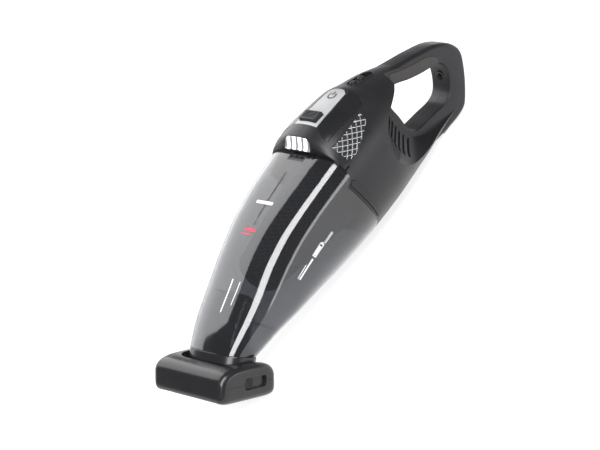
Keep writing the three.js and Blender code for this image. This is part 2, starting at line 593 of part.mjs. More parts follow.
const head = new THREE.Group();
head.rotation.y = HEAD_LEAN;
head.position.z = HEAD_RISE;
whole.add(head);
const HEAD = { deep: 42, wide: 58, high: 20, round: 9, wall: 2.2, cap: 50, squareTop: 3, squareBottom: 7 };
head.updateMatrixWorld(true);
// The neck's tilting axis, seen from the head.
const pivotPoint = head.worldToLocal(neck.localToWorld(vec(0, 0, NECK.pivot)));
const PIVOT = [pivotPoint.x, pivotPoint.z];

function headRing(y, inset) {
  const [deep, high] = [HEAD.deep - inset, HEAD.high - inset];
  return Array.from({ length: RING_SIDES }, (_, i) => {
    const angle = (i / RING_SIDES) * 2 * Math.PI;
    const [c, s] = [Math.cos(angle), Math.sin(angle)];
    const power = 2 / (s >= 0 ? HEAD.squareTop : HEAD.squareBottom);
    const x = Math.sign(c) * Math.abs(c) ** power * deep;
    return vec(x, y, HEAD.high + Math.sign(s) * Math.abs(s) ** power * high);
  });
}
function headLoft(inset) {
  const steps = [0, 30, 60, 90].map((degrees) => THREE.MathUtils.degToRad(degrees));
  const end = steps.map((angle) => [
    HEAD.wide - HEAD.round * (1 - Math.sin(angle)) - inset,
    inset + HEAD.round * (1 - Math.cos(angle)),
  ]);
  return skin([
    ...end.map(([y, shrink]) => headRing(-y, shrink)).reverse(),
    ...end.map(([y, shrink]) => headRing(y, shrink)),
  ]);
}
const SOLE = 0.4; // height of the sole's flat face in the head's frame
const headOuter = headLoft(0).intersect(box(-60, 60, -70, 70, SOLE, 60));
const headInner = headLoft(HEAD.wall);
const SOLE_TOP = 3.5;
const capInside = HEAD.cap - GAP / 2;
const ROLLER = { x: -26.5, z: 13.5, core: 8.5, tip: 12.5, half: 43.5, stub: 3, bearing: 5.5 };
const DRIVE = { x: 29.2, z: 16.4, can: 10, pulley: 4.5, belt: [44.6, 48.8] };
const WHEEL = { x: 30.4, z: 4.2, radius: 5, axle: 1.2, in: 34, out: 42 };
const FRONT_EDGE = -22;
const POCKET = { front: -19.5, half: 45.2, round: 20, floor: 28.9, thick: 1.8 };

const middlePart = box(-60, 60, -capInside, capInside, SOLE_TOP + GAP, 60);
// The pocket's two front corners are rounded like the collar's.
const pocketCorner = Array.from({ length: 7 }, (_, i) => {
  const angle = (i / 6) * (Math.PI / 2);
  return [
    POCKET.front + POCKET.round * (1 - Math.sin(angle)),
    POCKET.half - POCKET.round * (1 - Math.cos(angle)),
  ];
});
const pocketOutline = [
  [70, POCKET.half], ...pocketCorner, ...pocketCorner.map(([x, y]) => [x, -y]).reverse(), [70, -POCKET.half],
];
const pocket = planPlate(pocketOutline, POCKET.floor, 60);
const pocketWalls = box(
  POCKET.front - 2, HEAD.deep, -POCKET.half - 2, POCKET.half + 2, POCKET.floor - POCKET.thick, 60,
).intersect(headOuter).subtract(pocket)
  .subtract(bar("y", NECK.drum + 1.2, 2 * NECK.drumHalf + 2.4, [PIVOT[0], 0, PIVOT[1]], 28));
const ears = join([1, -1].map((side) => {
  const [y0, y1] = side > 0 ? [POCKET.half, capInside] : [-capInside, -POCKET.half];
  return box(PIVOT[0] - 8, PIVOT[0] + 8, y0, y1, 27, 38);
}));
const pinHoles = bar("y", NECK.pin + GAP, 110, [PIVOT[0], 0, PIVOT[1]], 18);
const upper = headOuter.subtract(headInner).intersect(middlePart).subtract(pocket)
  .add(pocketWalls.intersect(middlePart)).add(ears.intersect(headOuter)).subtract(pinHoles);
add("head_upper_cover", upper.intersect(box(FRONT_EDGE, 60, -60, 60, -5, 60)), graphite, head);
add("head_front_cover", headOuter.subtract(headInner).intersect(middlePart)
  .intersect(box(-60, FRONT_EDGE - GAP, -60, 60, -5, 60)), graphite, head);

const brushSlot = box(-39, -13, -45, 45, -5, 10);
const wheelSlots = join([1, -1].map((side) => {
  const slot = box(WHEEL.x - 5.8, WHEEL.x + 5.2, WHEEL.in - 0.7, WHEEL.out + 0.7, -5, 12);
  return side > 0 ? slot : slot.mirror([0, 1, 0]);
}));
const sole = headOuter.intersect(box(-60, 60, -capInside, capInside, -5, SOLE_TOP))
  .subtract(brushSlot).subtract(wheelSlots)
  .subtract(box(WHEEL.x - 2, WHEEL.x + 2, -47, 47, 2.4, 8));
add("sole_plate", sole, darkPlastic, head);

const LOCK = { x0: -8, x1: 25, z0: 13.5, z1: 26.5, depth: 54.2, knob: 13 };
const lockRecess = box(LOCK.x0, LOCK.x1, -60, -LOCK.depth, LOCK.z0, LOCK.z1);
for (const [name, side] of Object.entries(sideNames)) {
  const joint = HEAD.cap + GAP / 2;
  const inner = side > 0 ? box(-60, 60, joint, 60, -5, 60) : box(-60, 60, -60, -joint, -5, 60);
  const seat = bar("y", ROLLER.bearing + GAP, 5.2, [ROLLER.x, side * (HEAD.cap + 2.6), ROLLER.z], 20);
  const drivePocket = bar("y", 6, 4, [DRIVE.x, side * (HEAD.cap + 1.2), DRIVE.z], 18);
  const pinSeat = bar("y", NECK.pin + GAP, 4, [PIVOT[0], side * (HEAD.cap + 1), PIVOT[1]], 18);
  const cap = headOuter.intersect(inner).subtract(seat).subtract(drivePocket).subtract(pinSeat);
  add(`end_cap_${name}`, side < 0 ? cap.subtract(lockRecess) : cap, graphite, head);
  const bearingAt = [ROLLER.x, side * (HEAD.cap + 2.6), ROLLER.z];
  const ring = (radius, length) => bar("y", radius, length, bearingAt, 20);
  add(`roller_bearing_${name}`, ring(ROLLER.bearing, 4.4).subtract(ring(ROLLER.stub + GAP, 8)), steel, head);
  const wheelY = (side * (WHEEL.in + WHEEL.out)) / 2;
  const wheel = (radius, length) => bar("y", radius, length, [WHEEL.x, wheelY, WHEEL.z], 20);
  const tyre = wheel(WHEEL.radius, WHEEL.out - WHEEL.in).subtract(wheel(WHEEL.axle + GAP, 20));
  add(`rear_wheel_${name}`, tyre, softBlack, head);
}
add("wheel_axle", bar("y", WHEEL.axle, 92, [WHEEL.x, 0, WHEEL.z], 14), steel, head);
add("lock_slider", box(
  LOCK.x0 + 1, LOCK.x0 + 1 + LOCK.knob, -57, -LOCK.depth - GAP, LOCK.z0 + 1, LOCK.z1 - 1, 0.8,
), darkPlastic, head);

// Brush roller: a core with stub shafts, a pulley on its left end and two helical bristle rows.
const rollerPulley = bar("y", 7.5, 4, [ROLLER.x, 46.7, ROLLER.z], 24);
add("roller_core", join([
  bar("y", ROLLER.core, ROLLER.half * 2, [ROLLER.x, 0, ROLLER.z], 24),
  bar("y", ROLLER.stub, 109, [ROLLER.x, 0, ROLLER.z], 16),
  rollerPulley,
]), darkPlastic, head);
for (const [i, start] of [0, Math.PI].entries()) {
  const rings = Array.from({ length: 17 }, (_, k) => {
    const y = -41 + (k * 82) / 16;
    const angle = start + (k / 16) * 1.25 * Math.PI;
    const corner = (radius, offset) => {
      const a = angle + offset / radius;
      return vec(ROLLER.x + radius * Math.cos(a), y, ROLLER.z + radius * Math.sin(a));
    };
    const low = ROLLER.core + 0.6;
    return [corner(low, -1.6), corner(low, 1.6), corner(ROLLER.tip, 1.2), corner(ROLLER.tip, -1.2)];
  });
  add(`bristle_row_${i + 1}`, skin(rings), bristle, head);
}

// Drive: motor can, its shaft with the small pulley, and the belt round both pulleys.
add("head_motor", bar("y", DRIVE.can, 52, [DRIVE.x, 6, DRIVE.z], 24)
  .subtract(bar("y", 1.9, 60, [DRIVE.x, 6, DRIVE.z], 14)), steel, head);
add("drive_pulley", join([
  bar("y", 1.5, 68, [DRIVE.x, 15, DRIVE.z], 14),
  bar("y", DRIVE.pulley, 4, [DRIVE.x, 46.7, DRIVE.z], 20),
]), steel, head);
const beltLoop = (extra) => {
  const shape = new THREE.Shape();
  const [big, small] = [7.5 + GAP + extra, DRIVE.pulley + GAP + extra];
  const span = DRIVE.x - ROLLER.x;
  const lean = Math.acos((big - small) / span);
  shape.absarc(ROLLER.x, ROLLER.z, big, lean, 2 * Math.PI - lean);
  shape.absarc(DRIVE.x, DRIVE.z, small, -lean, lean);
  return shape.getPoints(9).map(({ x, y }) => [x, y]);
};
const beltInside = sidePlate(beltLoop(0), 40, 60);
add("drive_belt", sidePlate(beltLoop(1.2), ...DRIVE.belt).subtract(beltInside), softBlack, head);

// ------------------------------------------------- origin: middle of the footprint, on the floor

const bounds = new THREE.Box3().setFromObject(root, true);
const centre = bounds.getCenter(vec(0, 0, 0));
whole.position.set(-centre.x, -centre.y, -bounds.min.z);

export default root;
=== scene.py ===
"""Looks of the handheld vacuum: smooth visual shells, procedural materials, light and camera."""

import json
import math

import bmesh
import bpy
import numpy as np
from mathutils import Matrix, Vector


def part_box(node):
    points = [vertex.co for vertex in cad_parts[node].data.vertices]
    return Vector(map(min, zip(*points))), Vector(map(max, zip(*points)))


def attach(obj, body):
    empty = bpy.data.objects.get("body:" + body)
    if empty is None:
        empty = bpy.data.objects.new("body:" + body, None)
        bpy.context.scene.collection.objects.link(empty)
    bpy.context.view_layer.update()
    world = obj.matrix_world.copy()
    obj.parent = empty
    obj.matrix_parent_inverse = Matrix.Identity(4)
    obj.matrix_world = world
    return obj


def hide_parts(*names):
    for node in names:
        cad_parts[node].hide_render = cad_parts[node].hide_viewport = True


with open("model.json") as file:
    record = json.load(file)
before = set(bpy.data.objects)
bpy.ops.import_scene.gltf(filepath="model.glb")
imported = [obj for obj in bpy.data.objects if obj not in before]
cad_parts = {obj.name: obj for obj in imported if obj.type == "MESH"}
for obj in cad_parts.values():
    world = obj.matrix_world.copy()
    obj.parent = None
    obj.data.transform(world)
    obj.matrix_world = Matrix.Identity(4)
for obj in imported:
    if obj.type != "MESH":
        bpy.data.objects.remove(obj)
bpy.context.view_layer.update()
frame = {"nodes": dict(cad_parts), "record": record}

MM = 0.001
FOOT_X = 448.0  # where the rear foot begins in the drawing frame, in millimetres
SHIFT = np.array([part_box("rear_foot")[0].x / MM - FOOT_X, 0.0, 0.0])
ROUND = 96  # points round a section
HEAD_LEAN = math.radians(37)
NECK_LEAN = math.radians(47)
TOP_SLOPE = math.radians(19)

# ------------------------------------------------------------------ solids

scene = bpy.context.scene


def metres(points):
    return (np.asarray(points, float) + SHIFT) * MM


def new_object(name, points, faces):
    mesh = bpy.data.meshes.new(name)
    mesh.from_pydata(metres(points).tolist(), [], faces)
    made = bpy.data.objects.new(name, mesh)
    scene.collection.objects.link(made)
    return made


def signed_volume(points, quads, ends):
    a, b, c, d = (points[quads[:, k]] for k in range(4))
    total = np.sum(np.cross(a, b) * c) + np.sum(np.cross(a, c) * d)
    for end in ends:
        corner = points[end]
        total += np.sum(np.cross(corner[1:-1], corner[2:]) @ corner[0])
    return total


def skin(rings, name="skin"):
    """A closed skin over rings of equal point count."""
    rings = np.asarray(rings, float)
    many, count = rings.shape[:2]
    points = rings.reshape(-1, 3)
    step = np.arange(count)
    after = (step + 1) % count
    low = (np.arange(many - 1) * count)[:, None]
    quads = np.stack([low + step, low + after, low + count + after, low + count + step], 2).reshape(-1, 4)
    ends = [step[::-1], (many - 1) * count + step]
    if signed_volume(points - points.mean(0), quads, ends) < 0:
        quads, ends = quads[:, ::-1], [end[::-1] for end in ends]
    return new_object(name, points, quads.tolist() + [end.tolist() for end in ends])


def turn_into(target, source):
    old = target.data
    target.data = source
    bpy.data.meshes.remove(old)


def baked(obj):
    graph = bpy.context.evaluated_depsgraph_get()
    mesh = bpy.data.meshes.new_from_object(obj.evaluated_get(graph))
    obj.modifiers.clear()
    turn_into(obj, mesh)
    return obj


def cut(obj, operation, *others, keep=False):
    """Joins (UNION), cuts (DIFFERENCE) or meets (INTERSECT) obj with each other solid."""
    for other in others:
        modifier = obj.modifiers.new("cut", "BOOLEAN")
        modifier.operation = operation
        modifier.solver = "MANIFOLD"
        modifier.object = other
        baked(obj)
        if not keep:
            bpy.data.objects.remove(other)
    return obj


def copy_of(obj, name="copy"):
    made = bpy.data.objects.new(name, obj.data.copy())
    scene.collection.objects.link(made)
    return made


def pchip(xs, ys, at):
    """Smooth interpolation that never overshoots."""
    xs, ys, at = np.asarray(xs, float), np.asarray(ys, float), np.asarray(at, float)
    step, rise = np.diff(xs), np.diff(ys)
    slope = rise / step
    tangent = np.zeros_like(ys)
    tangent[0], tangent[-1] = slope[0], slope[-1]
    for i in range(1, len(xs) - 1):
        if slope[i - 1] * slope[i] > 0:
            w1, w2 = 2 * step[i] + step[i - 1], step[i] + 2 * step[i - 1]
            tangent[i] = (w1 + w2) / (w1 / slope[i - 1] + w2 / slope[i])
    k = np.clip(np.searchsorted(xs, at, side="right") - 1, 0, len(xs) - 2)
    t = (at - xs[k]) / step[k]
    return (
        (1 + 2 * t) * (1 - t) ** 2 * ys[k]
        + t * (1 - t) ** 2 * step[k] * tangent[k]
        + t * t * (3 - 2 * t) * ys[k + 1]
        + t * t * (t - 1) * step[k] * tangent[k + 1]
    )


def section(top, bottom, width, square_top, square_bottom, inset=0.0, angles=None):
    top, bottom = np.array([top[0], 0, top[1]]), np.array([bottom[0], 0, bottom[1]])
    centre = (top + bottom) / 2
    up = (top - bottom) / np.linalg.norm(top - bottom)
    high = np.linalg.norm(top - bottom) / 2 - inset
    wide = width / 2 - inset
    angles = np.linspace(0, 2 * np.pi, ROUND, endpoint=False) if angles is None else angles
    c, s = np.cos(angles), np.sin(angles)
    power = 2 / np.where(s >= 0, square_top, square_bottom)
    across = np.sign(c) * np.abs(c) ** power * wide
    along = np.sign(s) * np.abs(s) ** power * high
    return centre + along[:, None] * up + across[:, None] * np.array([0, 1, 0])


def station_at(table, knots, at):
    """The section's numbers at a place between stations: top x, z, bottom x, z, width and squareness."""
    return [float(pchip(knots, table[:, k], at)) for k in range(table.shape[1])]


def loft(table, knots, places, inset=0.0, name="loft"):
    rings = []
    for at in places:
        tx, tz, bx, bz, width, sharp_top, sharp_bottom = station_at(table, knots, at)
        rings.append(section((tx, tz), (bx, bz), width, sharp_top, sharp_bottom, inset))
    return skin(rings, name)


def catmull(points, count, closed=True):
    """Points of a centripetal-like smooth curve through the given ones."""
    points = np.asarray(points, float)
    n = len(points)
    wrap = (lambda i: points[i % n]) if closed else (lambda i: points[min(max(i, 0), n - 1)])
    spans = n if closed else n - 1
    fine = []
    for i in range(spans):
        p0, p1, p2, p3 = wrap(i - 1), wrap(i), wrap(i + 1), wrap(i + 2)
        d = [max(np.linalg.norm(b - a) ** 0.5, 1e-4) for a, b in ((p0, p1), (p1, p2), (p2, p3))]
        m1 = (p1 - p0) / d[0] - (p2 - p0) / (d[0] + d[1]) + (p2 - p1) / d[1]
        m2 = (p2 - p1) / d[1] - (p3 - p1) / (d[1] + d[2]) + (p3 - p2) / d[2]
        m1, m2 = m1 * d[1], m2 * d[1]
        for t in np.linspace(0, 1, 12, endpoint=False):
            fine.append(
                (2 * t**3 - 3 * t**2 + 1) * p1 + (t**3 - 2 * t**2 + t) * m1
                + (3 * t**2 - 2 * t**3) * p2 + (t**3 - t**2) * m2
            )
    fine.append(points[0] if closed else points[-1])
    fine = np.array(fine)
    along = np.r_[0, np.cumsum(np.linalg.norm(np.diff(fine, axis=0), axis=1))]
    at = np.linspace(0, along[-1], count, endpoint=not closed)
    return np.stack([np.interp(at, along, fine[:, k]) for k in range(fine.shape[1])], 1)


def grown(outline, distance):
    """An outline moved outwards by a distance, with mitred corners."""
    outline = np.asarray(outline, float)
    ahead = np.roll(outline, -1, 0)
    area = 0.5 * np.sum(outline[:, 0] * ahead[:, 1] - ahead[:, 0] * outline[:, 1])
    edge = ahead - outline
    normal = np.stack([edge[:, 1], -edge[:, 0]], 1) * np.sign(area)
    normal /= np.maximum(np.linalg.norm(normal, axis=1, keepdims=True), 1e-9)
    before = np.roll(normal, 1, 0)
    share = 1 + np.maximum(np.sum(before * normal, 1, keepdims=True), -0.6)
    return outline + (before + normal) * distance / share


def side_plate(outline, y0, y1, name="plate"):
    outline = np.asarray(outline, float)
    return skin([[(x, y, z) for x, z in outline] for y in (y0, y1)], name)


def plan_plate(outline, z0, z1, name="plate"):
    outline = np.asarray(outline, float)
    return skin([[(x, y, z) for x, y in outline] for z in (z0, z1)], name)


def rounded_plate(outline, low, high, radius, place, steps=5, name="plate"):
    """A plate with rounded rims. place(a, b, height) gives the point of an outline point at a height."""
    rings = []
    quarter = np.linspace(0, np.pi / 2, steps)
    for t in quarter:
        rings.append((grown(outline, -radius * (1 - np.sin(t))), low + radius * (1 - np.cos(t))))
    for t in quarter[::-1]:
        rings.append((grown(outline, -radius * (1 - np.sin(t))), high - radius * (1 - np.cos(t))))
    return skin([[place(a, b, h) for a, b in ring] for ring, h in rings], name)


def box(x0, x1, y0, y1, z0, z1, name="box"):
    return plan_plate([(x0, y0), (x1, y0), (x1, y1), (x0, y1)], z0, z1, name)


def rod(axis, radius, length, at, sides=40):
    angles = np.linspace(0, 2 * np.pi, sides, endpoint=False)
    c, s = radius * np.cos(angles), radius * np.sin(angles)
    rings = []
    for end in (-length / 2, length / 2):
        parts = {"x": (end + 0 * c, c, s), "y": (c, end + 0 * c, s), "z": (c, s, end + 0 * c)}[axis]
        rings.append(np.stack(parts, 1) + np.array(at, float))
    return skin(rings, "rod")


def mirrored(outline):
    return [(x, -y) for x, y in outline][::-1]


SIDES = {"left": 1, "right": -1}

# ------------------------------------------------------------------ the drawing: body

# x, top, bottom, width, squareness above and below
BODY = np.array([
    (246, 147, 7.5, 130, 3.3, 2.2), (262, 152, 7.5, 130, 2.8, 2.2), (270, 163.5, 7.5, 130.5, 2.2, 2.2),
    (287, 165.5, 7.5, 131, 2.15, 2.2), (320, 163, 7.5, 128, 2.1, 2.2), (350, 160, 7.5, 119, 2.05, 2.2),
    (371, 150.5, 7.5, 109, 2.3, 2.2), (400, 140.5, 7.5, 93, 2.4, 2.3), (440, 122, 6, 60, 2.4, 2.4),
    (484, 98, 5, 34, 2.4, 2.6),
], float)
BODY_TABLE = BODY[:, [0, 1, 0, 2, 3, 4, 5]]
BODY_PLACES = np.unique(np.r_[np.linspace(246, 292, 24), np.linspace(292, 484, 65)])


def body_loft(inset=0.0):
    return loft(BODY_TABLE, BODY[:, 0], BODY_PLACES, inset, "body")


SEAM = [(264, 190), (264, 114), (253.5, 108), (270, 38), (272, -20)]
HANDLE_OUTER = [
    (372, 146), (402, 137), (442, 122.5), (470, 112), (500, 98), (518, 82),
    (525, 65), (518, 43), (503, 18), (492, 6), (478, 2.6), (455, 3), (415, 7), (372, 10),
]
HAND_OPENING = [
    (405, 115.5), (397, 109), (394.5, 96), (398, 76), (401, 56), (406, 45), (413, 41), (443, 36.5),
    (467, 33.5), (478, 36.5), (486, 46), (492.5, 64), (489, 77), (477, 83.5), (459, 90), (438, 99),
    (420, 109),
]
HANDLE_HALF, HANDLE_ROUND, RIM_ROUND = 15, 6, 2.0
SCOOP_RIDGE = [
    (404, 143), (376, 136), (356, 127), (342, 116), (334, 102), (332, 79), (338, 58), (352, 38),
    (378, 22), (420, 12), (560, 2),
]
SCOOP_PANEL = [
    (401, 128), (385, 118.5), (374, 112.5), (365, 105.5), (360, 97), (358.5, 78), (363, 61), (372, 44.5),
    (388, 33), (424, 20), (560, 4),
]
SCOOP_ROOT = [
    (408, 121), (398, 114), (391, 107), (388, 101), (387, 94), (389, 76), (391, 62), (395, 49),
    (404, 38), (432, 24), (560, 6),
]
SCOOP_ABOVE = [(560, 200), (404, 200)]
SCOOP_DEPTH = {"root": 15, "panel": 36, "ridge": 62, "outside": 80}
SCOOP_FLARE = 1.3
SCOOP_POINTS = 110
GAP = 0.35
WALL = 2.4


def scoop(side, forward=0.0, thin=0.0):
    ridge, panel, root = (np.array(o, float) for o in (SCOOP_RIDGE, SCOOP_PANEL, SCOOP_ROOT))
    flared = panel + SCOOP_FLARE * (ridge - panel)
    rings = []
    for outline, y in (
        (root, SCOOP_DEPTH["root"] - thin), (panel, SCOOP_DEPTH["panel"] - thin),
        (ridge, SCOOP_DEPTH["ridge"] - thin), (flared, SCOOP_DEPTH["outside"]),
    ):
        smooth = catmull(outline, SCOOP_POINTS, closed=False)
        smooth = np.vstack([smooth, SCOOP_ABOVE])
        rings.append([(x - forward, side * y, z) for x, z in smooth])
    return skin(rings, "scoop")


handle_outline = catmull(HANDLE_OUTER, 140)
opening_outline = catmull(HAND_OPENING, 120)


def opening(grow=0.0):
    """The hand opening, with its rims rounded over where it leaves the handle."""
    quarter = np.linspace(0, np.pi / 2, 5)
    rings = [(RIM_ROUND, -90)]
    rim = [
        (RIM_ROUND * (1 - np.cos(t)), HANDLE_HALF - RIM_ROUND + RIM_ROUND * np.sin(t)) for t in quarter
    ]
    rings += [(widened, -across) for widened, across in rim[::-1]]
    rings += rim
    rings += [(RIM_ROUND, 90)]
    made = []
    for extra, y in rings:
        made.append([(x, y, z) for x, z in grown(opening_outline, grow + extra)])
    return skin(made, "opening")


def handle_loop(inset=0.0):
    half, radius = HANDLE_HALF - inset, HANDLE_ROUND - inset / 2
    outline = grown(handle_outline, -inset)
    return rounded_plate(outline, -half, half, radius, lambda a, b, h: (a, h, b), 7, "loop")


def behind_seam(gap):
    outline = [(x + gap, z) for x, z in SEAM] + [(600, -20), (600, 190)]
    return side_plate(outline, -100, 100, "behind")


PANEL = [(287.5, -17.5), (348, -13.5), (353, -8), (354, 0), (353, 8), (348, 13.5), (287.5, 17.5)]
CHEEK = [
    (287, 18.6), (277.5, 33.5), (278.5, 37.2), (333, 37.6), (344, 36), (351, 29), (357.5, 19), (355.5, 11),
    (349.5, 14.8),
]
GRILLE = [(334, 145.5), (331, 137), (285, 126), (275.5, 129.5), (273.5, 147.5)]
LED = [(260.8, -19.5), (267, -19), (269.3, -14.5), (269.3, 14.5), (267, 19), (260.8, 19.5)]
STRIP = [(257, 107.5), (262.5, 110.5), (267, 107), (279.5, 46), (276, 41), (273, 42)]
BUTTON = {"x0": 293, "x1": 308, "half": 12.5, "low": 158.5, "high": 169, "room": 0.6, "slope": 0.035}
GRIP = [(414, 126), (408, 108), (440, 88), (482, 70), (487, 88), (476, 99), (452, 109), (430, 119)]
INLAY = 1.3
INLAY_ROOM = 0.3
TOP_SPAN = (120, 180)  # heights that take in the whole top of the body
SIDE_SPAN = (20, 80)  # distances from the middle that take in a whole side of it


def side_prism(outline, side, grow):
    near, far = sorted(side * y for y in SIDE_SPAN)
    return side_plate(grown(outline, grow), near, far)


def plan_prism(outline, side, grow):
    return plan_plate(grown(outline if side > 0 else mirrored(outline), grow), *TOP_SPAN)


def join_objects(parts):
    """Solids that don't touch, as one object."""
    first = parts[0]
    return cut(first, "UNION", *parts[1:])


layers = {}


def layer(proud):
    """A copy of the skin between a height above the body's surface and the depth of its inlays."""
    if proud not in layers:
        layers[proud] = cut(body_loft(-proud), "DIFFERENCE", body_loft(INLAY))
        scene.collection.objects.unlink(layers[proud])
    return copy_of(layers[proud])


pocket_core = body_loft(INLAY + 0.35)


def pocket_for(prism):
    return cut(prism, "DIFFERENCE", pocket_core, keep=True)


def rounded_corners(x0, x1, y0, y1, radius, steps=7):
    """The outline of a rectangle with round corners."""
    points = []
    for k, (x, y) in enumerate([(x1 - radius, y1 - radius), (x0 + radius, y1 - radius),
                                (x0 + radius, y0 + radius), (x1 - radius, y0 + radius)]):
        points += [
            (x + radius * math.cos(t), y + radius * math.sin(t))
            for t in np.linspace(k * np.pi / 2, (k + 1) * np.pi / 2, steps)
        ]
    return points


def stadium(half_length, half_width, steps=12):
    right = np.linspace(-np.pi / 2, np.pi / 2, steps)
    x = half_length - half_width
    points = [(x + half_width * math.cos(t), half_width * math.sin(t)) for t in right]
    points += [(-x - half_width * math.cos(t), -half_width * math.sin(t)) for t in right]
    return points


SWITCH_AT = (386, 145.3)  # X and Z of the switch's own frame


def on_switch(x, y, z):
    """A point of the switch's own tilted frame, in the drawing frame."""
    c, s = math.cos(TOP_SLOPE), math.sin(TOP_SLOPE)
    return (SWITCH_AT[0] + x * c + z * s, y, SWITCH_AT[1] - x * s + z * c)


def switch_plate(outline, low, high, radius):
    if radius:
        return rounded_plate(outline, low, high, radius, on_switch, 4)
    return skin([[on_switch(x, y, z) for x, y in outline] for z in (low, high)], "plate")


SWITCH_HALF, SWITCH_WIDE = 20.5, 8.6
JACK_X, JACK_Z = 489, 55
JACK_RADIUS, JACK_BORE = 5.4, 3.2

CONTAINER = np.array([
    (19.8, 68.8, 56.4, 29.5, 84, 2.7, 2.5), (46.4, 83.4, 88, 29, 98, 2.7, 2.4),
    (84.8, 100.6, 131.7, 22.5, 109, 2.8, 2.3), (128.9, 120.2, 177.9, 15.2, 115, 3.0, 2.2),
    (174.7, 133.5, 213, 11, 121, 3.3, 2.2), (222, 140.5, 240, 9.5, 126, 3.5, 2.2),
    (264, 144, 264, 9, 128.5, 3.5, 2.2), (284, 144, 284, 9, 128.5, 3.5, 2.2),
], float)
CONTAINER_KNOTS = np.arange(len(CONTAINER), dtype=float)
CONTAINER_RINGS = 92
CLEAR_WALL = 2.2
NOSE_START = -0.08  # a cut through the container starts a little before its first station


def container_loft(inset=0.0, start=0.0):
    places = np.linspace(start, CONTAINER_KNOTS[-1], CONTAINER_RINGS)
    return loft(CONTAINER, CONTAINER_KNOTS, places, inset, "container")


def on_container(place, angle, proud):
    """A point on the container's wall, by its place along the stations and its angle round the section."""
    tx, tz, bx, bz, width, sharp_top, sharp_bottom = station_at(CONTAINER, CONTAINER_KNOTS, place)
    return section((tx, tz), (bx, bz), width, sharp_top, sharp_bottom, -proud, np.array([angle]))[0]


body = cut(body_loft(), "DIFFERENCE", scoop(1), scoop(-1))
cut(body, "UNION", handle_loop())
cut(body, "DIFFERENCE", opening())
cut(body, "INTERSECT", behind_seam(GAP))

BROW_X, BROW_Z = 271, 124  # the brow over the container is solid down to the container's top
inside = [
    (240, 0), (380, 0), (388, 60), (384, 104), (368, 170), (BROW_X, 170), (BROW_X, BROW_Z), (240, BROW_Z),
]
hollow = cut(body_loft(WALL), "INTERSECT", side_plate(inside, -90, 90))
cut(hollow, "DIFFERENCE", scoop(1, 4, 3.2), scoop(-1, 4, 3.2))
brow_room = cut(container_loft(-GAP), "INTERSECT", box(230, BROW_X + 1, -80, 80, BROW_Z - 1, 180))
cut(hollow, "UNION", brow_room)
cut(body, "DIFFERENCE", hollow)


def button_well():
    side = BUTTON["half"] + BUTTON["room"]
    return box(BUTTON["x0"] - BUTTON["room"], BUTTON["x1"] + BUTTON["room"], -side, side, 140, 180)


pockets = [
    pocket_for(plan_prism(PANEL, 1, INLAY_ROOM)),
    button_well(),
    pocket_for(plan_prism(LED, 1, INLAY_ROOM)),
    switch_plate(stadium(SWITCH_HALF, SWITCH_WIDE), -6, 20, 0),
    rod("x", JACK_RADIUS + GAP, 16, (JACK_X + 6, 0, JACK_Z)),
]
VENTS = {"rows": 7, "low": 47, "pitch": 8.6, "tall": 3.6, "x0": 352, "x1": 392.5, "near": 17.5, "far": 43}
for side in SIDES.values():
    pockets.append(pocket_for(plan_prism(CHEEK, side, INLAY_ROOM)))
    pockets.append(pocket_for(side_prism(GRILLE, side, INLAY_ROOM)))
    pockets.append(pocket_for(side_prism(STRIP, side, INLAY_ROOM)))
    for i in range(VENTS["rows"]):
        z = VENTS["low"] + i * VENTS["pitch"]
        low, high = sorted((side * VENTS["near"], side * VENTS["far"]))
        pockets.append(box(VENTS["x0"], VENTS["x1"], low, high, z, z + VENTS["tall"]))
cut(body, "DIFFERENCE", *pockets)

grip_outline = catmull(GRIP, 60)


def grip_skin(outside, inside):
    made = cut(handle_loop(outside), "DIFFERENCE", opening(outside))
    core = cut(handle_loop(inside), "DIFFERENCE", opening(inside))
    return cut(made, "DIFFERENCE", core)


grip_slot = cut(side_plate(grown(grip_outline, 0.3), -30, 30), "INTERSECT", grip_skin(-1, 1.5))
cut(body, "DIFFERENCE", grip_slot)

pieces = {}
for name, side in SIDES.items():
    low, high = (0.15, 100) if side > 0 else (-100, -0.15)
    half = cut(copy_of(body, f"shell_{name}"), "INTERSECT", box(0, 600, low, high, -10, 200))
    pieces[f"body_shell_{name}"] = half
    cheek = cut(layer(0.2), "INTERSECT", plan_prism(CHEEK, side, 0))
    pieces[f"cheek_trim_{name}"] = cheek
    grille = cut(layer(0.3), "INTERSECT", side_prism(GRILLE, side, 0))
    pieces[f"side_grille_{name}"] = cut(grille, "DIFFERENCE", plan_prism(CHEEK, side, 0.5))
    pieces[f"seam_strip_{name}"] = cut(layer(0.9), "INTERSECT", side_prism(STRIP, side, 0))
bpy.data.objects.remove(body)

panel = cut(layer(0.3), "INTERSECT", plan_prism(PANEL, 1, 0))
pieces["top_panel"] = cut(panel, "DIFFERENCE", button_well())

# The window over the lamps: a tray with four small square lenses standing in it.
LAMP_PITCH = 9.0
LAMP = {"x0": 262.2, "x1": 267.8, "half": 3.2}
lens = cut(layer(0.3), "INTERSECT", plan_prism(LED, 1, 0))
tray = cut(layer(0.6), "INTERSECT", plan_prism(LED, 1, -1.3))
floor_of_tray = cut(body_loft(0.8), "INTERSECT", plan_prism(LED, 1, 2))
cut(lens, "DIFFERENCE", cut(tray, "DIFFERENCE", floor_of_tray))
lamps = [
    box(LAMP["x0"], LAMP["x1"], y - LAMP["half"], y + LAMP["half"], *TOP_SPAN)
    for y in LAMP_PITCH * np.array([-1.5, -0.5, 0.5, 1.5])
]
lamp_rows = join_objects(lamps)
pieces["led_lens"] = cut(lens, "UNION", cut(layer(0.1), "INTERSECT", lamp_rows))
pieces["grip_insert"] = cut(side_plate(grip_outline, -30, 30), "INTERSECT", grip_skin(-0.3, 1.15))

